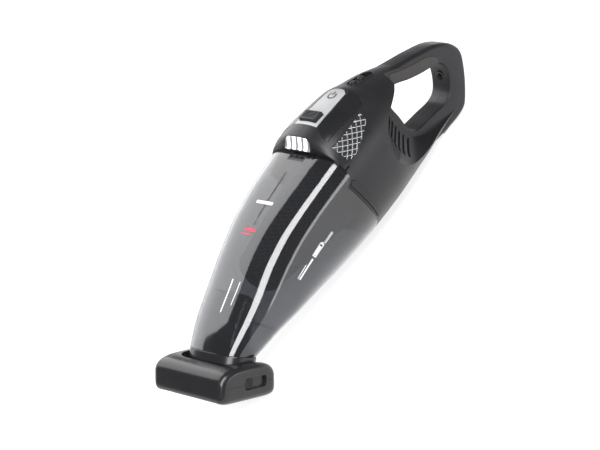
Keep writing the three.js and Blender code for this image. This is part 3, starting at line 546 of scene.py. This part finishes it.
# The switch sign: an open ring, with half its gap in degrees, and a stroke through the gap.
SYMBOL = {"x": 340.0, "outer": 5.9, "inner": 4.1, "half_gap": 40, "stroke": 0.9, "points": 40}
turns = np.radians(np.linspace(SYMBOL["half_gap"], 360 - SYMBOL["half_gap"], SYMBOL["points"]))
ring = [
    (SYMBOL["x"] + radius * math.cos(t), radius * math.sin(t))
    for radius, way in ((SYMBOL["outer"], turns), (SYMBOL["inner"], turns[::-1])) for t in way
]
stroke = box(
    SYMBOL["x"] + 1, SYMBOL["x"] + SYMBOL["outer"] + 1, -SYMBOL["stroke"], SYMBOL["stroke"], *TOP_SPAN,
)
sign = cut(plan_plate(ring, *TOP_SPAN), "UNION", stroke)
extras = {"switch_sign": (cut(layer(0.45), "INTERSECT", sign), "body", "sign_grey")}

# ------------------------------------------------------------------ the drawing: container

container = cut(container_loft(), "DIFFERENCE", container_loft(CLEAR_WALL, NOSE_START))
cut(container, "INTERSECT", side_plate(SEAM + [(-80, -20), (-80, 190)], -100, 100))
cut(container, "DIFFERENCE", box(251.8, 256.2, -12.2, 12.2, 138, 150))
pieces["dust_container"] = container


PATCH = {"steps": 6, "proud": 0.1, "sunk": 0.3}


def wall_patch(place, angle, along, across):
    """A thin plate on the container's wall, with its corners in millimetres from a point of the wall."""
    here = on_container(place, angle, 0)
    per_place = np.linalg.norm(on_container(place + 0.1, angle, 0) - here) / 0.1
    per_turn = np.linalg.norm(on_container(place, angle + 0.05, 0) - here) / 0.05
    us, vs = np.linspace(*along, PATCH["steps"]) / per_place, np.linspace(*across, PATCH["steps"]) / per_turn
    rings = []
    for u in us:
        outside = [on_container(place + u, angle + v, PATCH["proud"]) for v in vs]
        inside = [on_container(place + u, angle + v, -PATCH["sunk"]) for v in vs[::-1]]
        rings.append(np.array(outside + inside))
    return skin(rings)


# The printing on the container: a battery sign and plain rules where the words would be.
BATTERY = [
    ((-9, 9), (2.6, 3.6)), ((-9, 9), (-3.6, -2.6)), ((-9, -8), (-2.7, 2.7)), ((8, 9), (-2.7, 2.7)),
    ((9, 10.6), (-1.4, 1.4)), ((-7, 5), (-1.7, 1.7)),
]
WHITE_MARKS = [(3.70, 175.5, u, v) for u, v in BATTERY] + [
    (3.08, 174.5, (-14, 14), (1.2, 3.2)), (3.08, 174.5, (-14, 4), (-2.2, -1.2)),
    (4.12, 176.5, (-6, 10), (1.8, 2.6)), (4.12, 176.5, (-6, 10), (-0.6, 0.2)),
    (4.30, 88.5, (-2, 2), (-20, 20)), (1.85, 91.0, (-20, 20), (-0.6, 0.6)),
    (1.95, 99.0, (-14, 14), (-0.4, 0.4)),
]
RED_MARKS = [(3.50, 89.0, (0, 3.4), (-10, 12)), (3.50, 89.0, (-5, -3.4), (-14, 6))]
# Painted shade: a dark rim drawn on the wall round the latch slot stands for the shade in the slot, and a
# fine dark line runs from it along the top of the container.
SLOT_SHADE_AND_LINE = [
    (5.76, 90.0, (-4.6, -2.6), (-13.6, 13.6)), (5.76, 90.0, (2.6, 3.6), (-13.6, 13.6)),
    (5.76, 90.0, (-2.9, 2.9), (-13.6, -12.4)), (5.76, 90.0, (-2.9, 2.9), (12.4, 13.6)),
    (4.6, 90.0, (-45, 30), (-0.35, 0.35)),
]
for name, marks in (("mark_white", WHITE_MARKS), ("mark_red", RED_MARKS), ("mark_dark", SLOT_SHADE_AND_LINE)):
    patches = [wall_patch(place, math.radians(turn), u, v) for place, turn, u, v in marks]
    extras[name] = (join_objects(patches), "container", name)

# ------------------------------------------------------------------ the drawing: neck and brush head

HEAD_RISE = 21.52
NECK_RING = (38.1, 49.1)


def in_head(x, y, z):
    c, s = math.cos(HEAD_LEAN), math.sin(HEAD_LEAN)
    return (x * c + z * s, y, -x * s + z * c + HEAD_RISE)


def in_neck(x, y, z):
    c, s = math.cos(NECK_LEAN), math.sin(NECK_LEAN)
    return (x * c + z * s + NECK_RING[0], y, -x * s + z * c + NECK_RING[1])


def moved(obj, place):
    """Takes a solid drawn in a tilted frame to its place in the drawing frame."""
    mesh = obj.data
    flat = np.zeros(len(mesh.vertices) * 3)
    mesh.vertices.foreach_get("co", flat)
    x, y, z = (flat.reshape(-1, 3) / MM - SHIFT).T
    mesh.vertices.foreach_set("co", metres(np.stack(place(x, y, z), 1)).ravel())
    mesh.update()
    return obj


def flat_sections(rows):
    """Rings of (height, width, depth, squareness) in a tilted frame, stacked up its own Z."""
    rings = []
    angles = np.linspace(0, 2 * np.pi, ROUND, endpoint=False)
    c, s = np.cos(angles), np.sin(angles)
    for height, width, depth, square in rows:
        power = 2 / square
        x = -np.sign(s) * np.abs(s) ** power * depth / 2
        y = np.sign(c) * np.abs(c) ** power * width / 2
        rings.append(np.stack([x, y, 0 * x + height], 1))
    return skin(rings, "sections")


COLLAR_EDGE = -10.6
PIVOT_Z = -9
KNUCKLE = {"radius": 14, "long": 70, "sides": 64}
PIN = {"radius": 3, "long": 104, "sides": 32}
NECK_BORE = (66, 40, 2.6)  # width, depth and squareness of the way through the collar
SPIGOT = (77.8, 47.6, 2.6)
tilt = NECK_LEAN - HEAD_LEAN
collar = flat_sections([
    (-30, 81, 52, 2.6), (-2.0, 83.7, 53.5, 2.6), (-0.9, 83.4, 53.2, 2.6), (-0.35, 82.6, 52.4, 2.6),
])


def above_edge(x, y, z):
    """A point measured from the collar's lower edge, which is level with the head, in the neck's frame."""
    c, s = math.cos(tilt), math.sin(tilt)
    return (x * c - z * s, y, x * s + z * c + COLLAR_EDGE)


edge_box = moved(box(-90, 90, -90, 90, 0, 60), above_edge)
cut(collar, "INTERSECT", edge_box)
for part in (KNUCKLE, PIN):
    cut(collar, "UNION", rod("y", part["radius"], part["long"], (0, 0, PIVOT_Z), part["sides"]))
bore = flat_sections([(-40, 62, 22, 2.6), (-14, 62, 23, 2.6), (-4, *NECK_BORE), (12, *NECK_BORE)])
cut(collar, "DIFFERENCE", bore)
moved(collar, in_neck)
spigot = flat_sections([(-3, *SPIGOT), (8, *SPIGOT)])
cut(spigot, "DIFFERENCE", flat_sections([(-4, *NECK_BORE), (12, *NECK_BORE)]))
cut(moved(spigot, in_neck), "INTERSECT", container_loft(CLEAR_WALL + GAP, NOSE_START))
pieces["neck_collar"] = cut(collar, "UNION", spigot)

HEAD = {"deep": 42, "wide": 58, "high": 20, "round": 9, "wall": 2.2, "cap": 50, "top": 3, "bottom": 7}
SOLE = 0.4
SOLE_TOP = 3.5
FRONT_EDGE = -22
POCKET = {"front": -19.5, "half": 45.2, "round": 20, "floor": 28.9, "thick": 1.8}
PIVOT = (12.26, 36.10)  # X and Z of the tilt axis in the head's frame
PIN_HOLE = PIN["radius"] + GAP
KNUCKLE_ROOM = {"radius": 1.2, "long": 2.4}  # how much more room the head leaves round the knuckle


def head_loft(inset=0.0):
    angles = np.linspace(0, 2 * np.pi, ROUND, endpoint=False)
    c, s = np.cos(angles), np.sin(angles)
    power = 2 / np.where(s >= 0, HEAD["top"], HEAD["bottom"])
    quarter = np.linspace(0, np.pi / 2, 8)
    ends = [(
        HEAD["wide"] - HEAD["round"] * (1 - math.sin(t)) - inset,
        inset + HEAD["round"] * (1 - math.cos(t)),
    ) for t in quarter]
    # the flat between the two rounded ends is cut into strips, which keeps its shading even
    strips = [(y, inset) for y in np.linspace(-ends[0][0], ends[0][0], 9)[1:-1]]
    rows = [(-y, shrink) for y, shrink in ends[::-1]] + strips + ends
    rings = []
    for y, shrink in rows:
        deep, high = HEAD["deep"] - shrink, HEAD["high"] - shrink
        x = np.sign(c) * np.abs(c) ** power * deep
        z = HEAD["high"] + np.sign(s) * np.abs(s) ** power * high
        rings.append(np.stack([x, 0 * x + y, z], 1))
    return skin(rings, "head")


cap_line = HEAD["cap"] - GAP / 2


def between_caps():
    return box(-60, 60, -cap_line, cap_line, SOLE_TOP + GAP, 60)


head_skin = cut(head_loft(), "INTERSECT", box(-60, 60, -70, 70, SOLE, 60))
shell = cut(copy_of(head_skin), "DIFFERENCE", head_loft(HEAD["wall"]))
cut(shell, "INTERSECT", between_caps())
front = cut(copy_of(shell), "INTERSECT", box(-60, FRONT_EDGE - GAP, -60, 60, -5, 60))
corner = [(
    POCKET["front"] + POCKET["round"] * (1 - math.sin(t)),
    POCKET["half"] - POCKET["round"] * (1 - math.cos(t)),
) for t in np.linspace(0, np.pi / 2, 13)]
pocket_outline = [(70, POCKET["half"]), *corner, *[(x, -y) for x, y in corner[::-1]], (70, -POCKET["half"])]
pocket = plan_plate(pocket_outline, POCKET["floor"], 60)
walls = box(
    POCKET["front"] - 2, HEAD["deep"], -POCKET["half"] - 2, POCKET["half"] + 2,
    POCKET["floor"] - POCKET["thick"], 60,
)
cut(walls, "INTERSECT", head_skin, keep=True)
knuckle_slot = rod(
    "y", KNUCKLE["radius"] + KNUCKLE_ROOM["radius"], KNUCKLE["long"] + KNUCKLE_ROOM["long"],
    (PIVOT[0], 0, PIVOT[1]), KNUCKLE["sides"],
)
cut(walls, "DIFFERENCE", copy_of(pocket), knuckle_slot)
cut(walls, "INTERSECT", between_caps())
upper = cut(shell, "DIFFERENCE", pocket)
cut(upper, "UNION", walls)
for side in SIDES.values():
    low, high = (POCKET["half"], cap_line) if side > 0 else (-cap_line, -POCKET["half"])
    ear = box(PIVOT[0] - 8, PIVOT[0] + 8, low, high, 27, 38)
    cut(upper, "UNION", cut(ear, "INTERSECT", head_skin, keep=True))
cut(upper, "DIFFERENCE", rod("y", PIN_HOLE, 110, (PIVOT[0], 0, PIVOT[1])))
cut(upper, "INTERSECT", box(FRONT_EDGE, 60, -60, 60, -5, 60))
pieces["head_front_cover"] = moved(front, in_head)
pieces["head_upper_cover"] = moved(upper, in_head)

LOCK = {"x0": -8, "x1": 25, "z0": 13.5, "z1": 26.5, "depth": 54.2}
PARTING = {"deep": 0.35, "low": 19.6, "high": 20.3}  # the fine line across each end cap
ROLLER_X, ROLLER_Z = -26.5, 13.5
BEARING_SEAT = {"radius": 5.85, "deep": 5.2}
DRIVE_SEAT = {"x": 29.2, "z": 16.4, "radius": 6}  # room for the end of the drive
for name, side in SIDES.items():
    low, high = (HEAD["cap"] + GAP / 2, 60) if side > 0 else (-60, -HEAD["cap"] - GAP / 2)
    cap = cut(copy_of(head_skin), "INTERSECT", box(-60, 60, low, high, -5, 60))
    bearing_at = (ROLLER_X, side * (HEAD["cap"] + BEARING_SEAT["deep"] / 2), ROLLER_Z)
    cut(cap, "DIFFERENCE", rod("y", BEARING_SEAT["radius"], BEARING_SEAT["deep"], bearing_at))
    drive_at = (DRIVE_SEAT["x"], side * (HEAD["cap"] + 1.2), DRIVE_SEAT["z"])
    cut(cap, "DIFFERENCE", rod("y", DRIVE_SEAT["radius"], 4, drive_at))
    cut(cap, "DIFFERENCE", rod("y", PIN_HOLE, 4, (PIVOT[0], side * (HEAD["cap"] + 1), PIVOT[1])))
    near, far = sorted((side * (HEAD["wide"] - PARTING["deep"]), side * 60))
    cut(cap, "DIFFERENCE", box(-60, 60, near, far, PARTING["low"], PARTING["high"]))
    if side < 0:
        recess = rounded_corners(LOCK["x0"], LOCK["x1"], LOCK["z0"], LOCK["z1"], 3.6)
        cut(cap, "DIFFERENCE", side_plate(recess, -60, -LOCK["depth"]))
    pieces[f"end_cap_{name}"] = moved(cap, in_head)
bpy.data.objects.remove(head_skin)

# ------------------------------------------------------------------ smaller pieces


def revolved(profile, height):
    """A ring turned about the motor's axis from a closed (X, radius) profile."""
    angles = np.linspace(0, 2 * np.pi, ROUND, endpoint=False)
    profile = np.asarray(profile, float)
    rows = len(profile)
    points = np.array([[(x, r * math.cos(a), height + r * math.sin(a)) for a in angles] for x, r in profile])
    faces = []
    for i in range(rows):
        for k in range(ROUND):
            j, m = (i + 1) % rows, (k + 1) % ROUND
            faces.append((i * ROUND + k, i * ROUND + m, j * ROUND + m, j * ROUND + k))
    made = new_object("turned", points.reshape(-1, 3), faces)
    area = np.sum(profile[:, 0] * np.roll(profile[:, 1], -1) - np.roll(profile[:, 0], -1) * profile[:, 1])
    if area > 0:
        made.data.flip_normals()
    return made


MOTOR_Z = 80
pieces["mesh_prefilter"] = revolved([
    (265.6, 42.7), (265.6, 44), (256, 44), (225, 39.8), (190, 35.2), (160, 31.2), (136, 28),
    (131, 26.6), (127, 23.6), (124, 19.6), (122.3, 15), (122, 5), (124, 5), (124, 14), (128, 22),
    (137, 25.7), (256, 42.7),
], MOTOR_Z)

x0, x1, half, low, high = (BUTTON[key] for key in ("x0", "x1", "half", "low", "high"))


def on_button(x, y, z):
    return (x, y, z - BUTTON["slope"] * (x - BUTTON["x0"]))


button = rounded_plate(
    [(x0, -half), (x1, -half), (x1, half), (x0, half)], low, high, 1.3, on_button, 6,
)
BUTTON_GROOVES = {"count": 5, "start": 3.4, "pitch": 2.1, "wide": 0.8, "deep": 0.9}
for i in range(BUTTON_GROOVES["count"]):
    x = x0 + BUTTON_GROOVES["start"] + BUTTON_GROOVES["pitch"] * i
    groove_floor = high - BUTTON_GROOVES["deep"] - BUTTON["slope"] * (x - x0)
    groove = box(x, x + BUTTON_GROOVES["wide"], -half + 3, half - 3, groove_floor, high + 2)
    cut(button, "DIFFERENCE", groove)
pieces["release_button"] = button

rim = switch_plate(stadium(SWITCH_HALF - 0.35, SWITCH_WIDE - 0.35, 24), -5.6, 0.7, 0.6)
cut(rim, "DIFFERENCE", switch_plate(stadium(SWITCH_HALF - 1.6, SWITCH_WIDE - 1.6, 24), -4.4, 5, 0))
pieces["switch_bezel"] = rim

KNOB_SHIFT = -5.5
knob_outline = [(x + KNOB_SHIFT, y) for x, y in stadium(12, 6, 20)]
knob = switch_plate(knob_outline, -3.9, -0.6, 0.5)
for a, b in ((-11, -2.5), (2.5, 11)):
    pad = [(x + KNOB_SHIFT + (a + b) / 2, y) for x, y in stadium((b - a) / 2, 4.2, 14)]
    cut(knob, "UNION", switch_plate(pad, -3, 1.8, 1.1))
pieces["power_switch"] = knob

slider = rounded_plate(
    rounded_corners(LOCK["x0"] + 1, LOCK["x0"] + 14, LOCK["z0"] + 1, LOCK["z1"] - 1, 2.8),
    -57, -LOCK["depth"] - GAP, 0.7, lambda a, b, h: (a, h, b), 4,
)
SLIDER_GROOVES = {"count": 3, "start": 4.4, "pitch": 3, "wide": 1.2}
for i in range(SLIDER_GROOVES["count"]):
    x = LOCK["x0"] + SLIDER_GROOVES["start"] + SLIDER_GROOVES["pitch"] * i
    groove = box(x, x + SLIDER_GROOVES["wide"], -58, -56.3, LOCK["z0"] + 2.4, LOCK["z1"] - 2.4)
    cut(slider, "DIFFERENCE", groove)
pieces["lock_slider"] = moved(slider, in_head)

jack = rod("x", JACK_RADIUS, 12, (JACK_X + 7, 0, JACK_Z))
jack_bore = rod("x", JACK_BORE, 9, (JACK_X + 4.5, 0, JACK_Z))
pieces["charging_socket"] = cut(jack, "DIFFERENCE", jack_bore)

# ------------------------------------------------------------------ remade from the drawing


def tidied(node):
    """A CAD node's own shape with its points joined, so that it can be shaded smoothly."""
    source = frame["nodes"][node]
    made = bpy.data.objects.new(f"v_{node}", source.data.copy())
    scene.collection.objects.link(made)
    made.data.materials.clear()
    work = bmesh.new()
    work.from_mesh(made.data)
    bmesh.ops.remove_doubles(work, verts=work.verts, dist=2e-6)
    bmesh.ops.dissolve_limit(work, angle_limit=math.radians(0.5), verts=work.verts, edges=work.edges)
    work.to_mesh(made.data)
    work.free()
    return made


for node in frame["nodes"]:
    if node not in pieces:
        pieces[node] = tidied(node)

SHARP_ANGLE = math.radians(32)  # two faces that meet at more than this show an edge
body_of_node = {n: b for b, members in frame["record"]["behaviour"]["bodies"].items() for n in members}


def finish_shading(obj):
    mesh = obj.data
    for attribute in ("custom_normal", "sharp_face"):
        if attribute in mesh.attributes:
            mesh.attributes.remove(mesh.attributes[attribute])
    mesh.polygons.foreach_set("use_smooth", [True] * len(mesh.polygons))
    mesh.set_sharp_from_angle(angle=SHARP_ANGLE)
    mesh.update()


kept = set(pieces.values()) | set(frame["nodes"].values()) | {made for made, _, _ in extras.values()}
for obj in [o for o in bpy.data.objects if o.type == "MESH" and o not in kept]:
    bpy.data.objects.remove(obj)

for node, obj in pieces.items():
    obj.name = f"look_{node}"
    finish_shading(obj)
    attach(obj, body_of_node[node])
    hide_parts(node)
for name, (obj, carrier, _) in extras.items():
    obj.name = name
    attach(obj, carrier)

# ------------------------------------------------------------------ materials


class Look:
    """A material and the few node shortcuts that all the looks share."""

    def __init__(self, name):
        self.material = bpy.data.materials.new(name)
        self.material.use_nodes = True
        self.tree = self.material.node_tree
        self.tree.nodes.clear()
        self.coordinate = self.node("ShaderNodeTexCoord").outputs["Object"]

    def node(self, kind, inputs=None, **settings):
        made = self.tree.nodes.new(kind)
        for key, value in settings.items():
            setattr(made, key, value)
        for key, value in (inputs or {}).items():
            socket = made.inputs[key]
            if isinstance(value, bpy.types.NodeSocket):
                self.tree.links.new(value, socket)
            else:
                socket.default_value = value
        return made

    def math(self, operation, a, b=0.0, clamp=False):
        return self.node("ShaderNodeMath", {0: a, 1: b}, operation=operation, use_clamp=clamp).outputs[0]

    def noise(self, scale, detail=2.0):
        return self.node(
            "ShaderNodeTexNoise",
            {"Vector": self.coordinate, "Scale": scale, "Detail": detail, "Roughness": 0.5},
        ).outputs["Fac"]

    def between(self, factor, low, high):
        return self.node("ShaderNodeMapRange", {
            "Value": factor, "From Min": 0.3, "From Max": 0.7, "To Min": low, "To Max": high,
        }).outputs["Result"]

    def mix(self, factor, a, b):
        made = self.node("ShaderNodeMix", data_type="RGBA")
        for index, value in ((0, factor), (6, a), (7, b)):
            if isinstance(value, bpy.types.NodeSocket):
                self.tree.links.new(value, made.inputs[index])
            else:
                made.inputs[index].default_value = value
        return made.outputs[2]

    def soft_edges(self, radius):
        return self.node("ShaderNodeBevel", {"Radius": radius}, samples=4).outputs["Normal"]

    def bump(self, height, distance, normal=None):
        inputs = {"Height": height, "Distance": distance, "Strength": 1.0}
        if normal is not None:
            inputs["Normal"] = normal
        return self.node("ShaderNodeBump", inputs).outputs["Normal"]

    def end(self, shader):
        self.node("ShaderNodeOutputMaterial", {"Surface": shader})
        return self.material


def moulded(name, color, rough, grain=0.00001, spread=0.05, coat=0.0, metallic=0.0, shine=0.5):
    """A moulded or plated surface: a faint grain, slightly uneven sheen and softened edges."""
    look = Look(name)
    large, fine = look.noise(35.0), look.noise(1600.0, 1.0)
    darker = tuple(c * 0.9 for c in color) + (1.0,)
    lighter = tuple(min(c * 1.08, 1.0) for c in color) + (1.0,)
    base = look.mix(look.between(large, 0.0, 1.0), darker, lighter)
    normal = look.bump(fine, grain, look.soft_edges(0.0006))
    shader = look.node("ShaderNodeBsdfPrincipled", {
        "Base Color": base,
        "Roughness": look.between(large, rough - spread / 2, rough + spread / 2),
        "Normal": normal,
        "Metallic": metallic,
        "Specular IOR Level": shine,
        "Coat Weight": coat,
        "Coat Roughness": 0.06,
    })
    return look.end(shader.outputs["BSDF"])


def smoked_clear(name, tint, haze, sheen_low):
    """Tinted clear plastic: what is behind it shows darkened, with a mirror sheen that grows at a slant."""
    look = Look(name)
    facing = look.node("ShaderNodeLayerWeight", {"Blend": 0.5}).outputs["Facing"]
    slanted = look.math("MULTIPLY", look.math("POWER", facing, 4.0), 0.9)
    sheen = look.math("ADD", slanted, sheen_low, clamp=True)
    back = look.node("ShaderNodeNewGeometry").outputs["Backfacing"]
    sheen = look.math("MULTIPLY", sheen, look.math("SUBTRACT", 1.0, look.math("MULTIPLY", back, 0.7)))
    cloud = look.between(look.noise(30.0, 2.0), 0.97, 1.03)
    color = look.node("ShaderNodeVectorMath", {0: tint, 3: 1.0}, operation="SCALE")
    look.tree.links.new(cloud, color.inputs["Scale"])
    clear = look.node("ShaderNodeBsdfTransparent", {"Color": color.outputs[0]}).outputs["BSDF"]
    smoke = look.node("ShaderNodeBsdfDiffuse", {"Color": (0.10, 0.10, 0.11, 1.0)}).outputs["BSDF"]
    depth = look.node("ShaderNodeMixShader", {0: haze, 1: clear, 2: smoke}).outputs[0]
    mirror = look.node("ShaderNodeBsdfGlossy", {
        "Color": (1.0, 1.0, 1.0, 1.0),
        "Roughness": look.between(look.noise(60.0), 0.06, 0.08),
        "Normal": look.bump(look.noise(18.0, 1.0), 0.00005),
    }).outputs["BSDF"]
    return look.end(look.node("ShaderNodeMixShader", {0: sheen, 1: depth, 2: mirror}).outputs[0])


def expanded_mesh(name, pitch, bar, hole_shade, bar_color, rough, metallic):
    """A diamond lattice: bars of one finish over holes painted dark as the shade seen through them, with the
    bars standing proud.
    """
    look = Look(name)
    split = look.node("ShaderNodeSeparateXYZ", {"Vector": look.coordinate}).outputs
    across, up = split["X"], split["Z"]
    heights = []
    for sign in (1.0, -1.0):
        along = look.math("ADD", across, look.math("MULTIPLY", up, 1.7 * sign))
        cell = look.math("FRACT", look.math("DIVIDE", along, pitch))
        centred = look.math("ABSOLUTE", look.math("SUBTRACT", cell, 0.5))
        heights.append(look.math("SUBTRACT", 1.0, look.math("DIVIDE", centred, bar), clamp=True))
    bars = look.math("MAXIMUM", heights[0], heights[1])
    solid = look.math("MULTIPLY", bars, 3.0, clamp=True)
    # the holes get painted shade: a dark colour standing for what would be seen through them
    shader = look.node("ShaderNodeBsdfPrincipled", {
        "Base Color": look.mix(solid, hole_shade, bar_color),
        "Roughness": rough,
        "Metallic": look.math("MULTIPLY", solid, metallic),
        "Normal": look.bump(bars, 0.0006, look.soft_edges(0.0004)),
    })
    return look.end(shader.outputs["BSDF"])


def lamp_window(name, color, pitch, strength):
    """A clear window with a row of lamps under it: bright where a lamp is, silver-grey between them."""
    look = Look(name)
    across = look.node("ShaderNodeSeparateXYZ", {"Vector": look.coordinate}).outputs["Y"]
    cell = look.math("FRACT", look.math("DIVIDE", across, pitch))
    off_middle = look.math("ABSOLUTE", look.math("SUBTRACT", cell, 0.5))
    lamp = look.node("ShaderNodeMapRange", {
        "Value": off_middle, "From Min": 0.22, "From Max": 0.36, "To Min": 1.0, "To Max": 0.0,
    }).outputs["Result"]
    cloud = look.between(look.noise(900.0), 0.75, 1.15)
    shader = look.node("ShaderNodeBsdfPrincipled", {
        "Base Color": look.mix(lamp, (0.20, 0.20, 0.21, 1), color),
        "Roughness": 0.15,
        "Emission Color": color,
        "Emission Strength": look.math("MULTIPLY", look.math("MULTIPLY", lamp, strength), cloud),
        "Normal": look.bump(look.noise(700.0), 0.0003, look.soft_edges(0.0003)),
    })
    return look.end(shader.outputs["BSDF"])


LOOKS = {
    "graphite": moulded("graphite", (0.012, 0.012, 0.0135), 0.34, grain=0.00002, shine=0.3),
    "head_gloss": moulded("head_gloss", (0.011, 0.011, 0.012), 0.24, spread=0.03, shine=0.42),
    "dark_plastic": moulded("dark_plastic", (0.010, 0.010, 0.011), 0.36, shine=0.3),
    "gloss_black": moulded(
        "gloss_black", (0.009, 0.009, 0.010), 0.22, grain=0.000002, spread=0.03, shine=0.4),
    "silver_plastic": moulded("silver_plastic", (0.32, 0.322, 0.325), 0.34),
    "soft_black": moulded("soft_black", (0.030, 0.028, 0.027), 0.75, grain=0.00006),
    "steel": moulded("steel", (0.55, 0.56, 0.58), 0.3, metallic=1.0),
    "motor_metal": moulded("motor_metal", (0.62, 0.63, 0.65), 0.35, metallic=1.0),
    "cell_wrap": moulded("cell_wrap", (0.03, 0.16, 0.45), 0.3, coat=0.4),
    "circuit_board": moulded("circuit_board", (0.02, 0.13, 0.05), 0.45),
    "filter_paper": moulded("filter_paper", (0.80, 0.78, 0.72), 0.9, grain=0.00008),
    "bristle": moulded("bristle", (0.30, 0.03, 0.04), 0.8, grain=0.0003),
    "smoke_clear": smoked_clear("smoke_clear", (0.47, 0.475, 0.495), haze=0.05, sheen_low=0.065),
    # the first, dark colour of each lattice is painted shade in its holes
    "chrome_mesh": expanded_mesh(
        "chrome_mesh", 0.0105, 0.12, (0.015, 0.015, 0.016, 1), (0.55, 0.56, 0.58, 1), 0.25, 1.0),
    "mesh_cloth": expanded_mesh(
        "mesh_cloth", 0.0075, 0.2, (0.012, 0.012, 0.014, 1), (0.055, 0.055, 0.06, 1), 0.6, 0.0),
    "frosted_lens": lamp_window("frosted_lens", (0.94, 0.96, 1.0, 1.0), LAMP_PITCH / 1000, 0.7),
    "sign_grey": moulded("sign_grey", (0.02, 0.02, 0.021), 0.4),
    "mark_white": moulded("mark_white", (0.85, 0.85, 0.86), 0.5),
    # dark patches: painted shade round the latch slot, and the fine line along the container's top
    "mark_dark": moulded("mark_dark", (0.012, 0.012, 0.013), 0.4),
    "mark_red": moulded("mark_red", (0.60, 0.03, 0.06), 0.5),
}
slot_of_node = {row["node"]: row["material_slot"] for row in frame["record"]["subparts"]}
GLOSSIER = {"head_upper_cover", "head_front_cover", "end_cap_left", "end_cap_right", "neck_collar"}
for node, obj in pieces.items():
    obj.data.materials.clear()
    obj.data.materials.append(LOOKS["head_gloss" if node in GLOSSIER else slot_of_node[node]])
for obj, _, look_name in extras.values():
    obj.data.materials.clear()
    obj.data.materials.append(LOOKS[look_name])

# ------------------------------------------------------------------ stage, light and camera

VIEW_LENS, SENSOR = 168.0, 36.0
AWAY = 3136.0  # camera to the middle of the sole, in millimetres
SOLE_MIDDLE = (0.0, 0.0, 25.3)


def from_use(x, y, z):
    """A direction of the standing machine, in the drawing frame, where it lies on its belly."""
    c, s = math.cos(HEAD_LEAN), math.sin(HEAD_LEAN)
    return np.array([x * c + z * s, y, -x * s + z * c])


turn, rise = math.radians(-45), math.radians(11)  # the view's angles about the standing machine
back = from_use(math.sin(turn) * math.cos(rise), -math.cos(turn) * math.cos(rise), math.sin(rise))
right = from_use(math.cos(turn), math.sin(turn), 0)
up = np.cross(back, right)
across, down = -97.44, 184.8  # the middle of the sole from the middle of the view, in millimetres
spot = np.array(SOLE_MIDDLE) + back * AWAY - right * across + up * down
camera = bpy.data.objects.new("camera", bpy.data.cameras.new("camera"))
camera.data.lens, camera.data.sensor_width = VIEW_LENS, SENSOR
camera.data.clip_start, camera.data.clip_end = 0.1, 50
camera.matrix_world = Matrix([
    [*row, at] for row, at in zip(np.stack([right, up, back], 1).tolist(), metres(spot).tolist())
] + [[0, 0, 0, 1]])
scene.collection.objects.link(camera)
scene.camera = camera

floor_look = Look("floor")
floor_shader = floor_look.node("ShaderNodeBsdfPrincipled", {
    "Base Color": floor_look.mix(
        floor_look.between(floor_look.noise(4.0), 0, 1), (0.30, 0.30, 0.30, 1), (0.33, 0.33, 0.33, 1)),
    "Roughness": 0.7,
    "Emission Color": (1.0, 1.0, 1.0, 1.0),
    "Emission Strength": 0.82,
})
FLOOR_HALF, FLOOR_TOP = 9000, -0.5
floor = box(-FLOOR_HALF, FLOOR_HALF, -FLOOR_HALF, FLOOR_HALF, FLOOR_TOP - 11.5, FLOOR_TOP, "floor")
floor.data.materials.append(floor_look.end(floor_shader.outputs["BSDF"]))

middle_point = np.array([240.0, 0.0, 80.0])


def softbox(name, rightward, upward, backward, width, height, watts):
    """An area light placed by the picture's own directions; its height runs along the machine."""
    data = bpy.data.lights.new(name, "AREA")
    data.shape, data.size, data.size_y, data.energy = "RECTANGLE", width, height, watts
    made = bpy.data.objects.new(name, data)
    place = Vector(metres(middle_point + right * rightward + up * upward + back * backward))
    outward = (place - Vector(metres(middle_point))).normalized()
    tall = (Vector((1, 0, 0)) - outward * outward.x).normalized()
    made.matrix_world = Matrix([
        [*row, at] for row, at in zip(zip(tall.cross(outward), tall, outward), place)
    ] + [[0, 0, 0, 1]])
    scene.collection.objects.link(made)


softbox("key", rightward=-230, upward=430, backward=1370, width=0.62, height=2.6, watts=56)
softbox("rim", rightward=-1060, upward=760, backward=-500, width=1.6, height=1.6, watts=24)
softbox("side", rightward=1100, upward=100, backward=500, width=0.4, height=1.2, watts=6)

world = bpy.data.worlds.new("world")
scene.world = world
world.use_nodes = True
world.node_tree.nodes["Background"].inputs["Color"].default_value = (0.9, 0.93, 1.0, 1.0)
world.node_tree.nodes["Background"].inputs["Strength"].default_value = 0.22
scene.view_settings.view_transform = "Standard"
scene.view_settings.look = "None"
scene.render.film_transparent = False
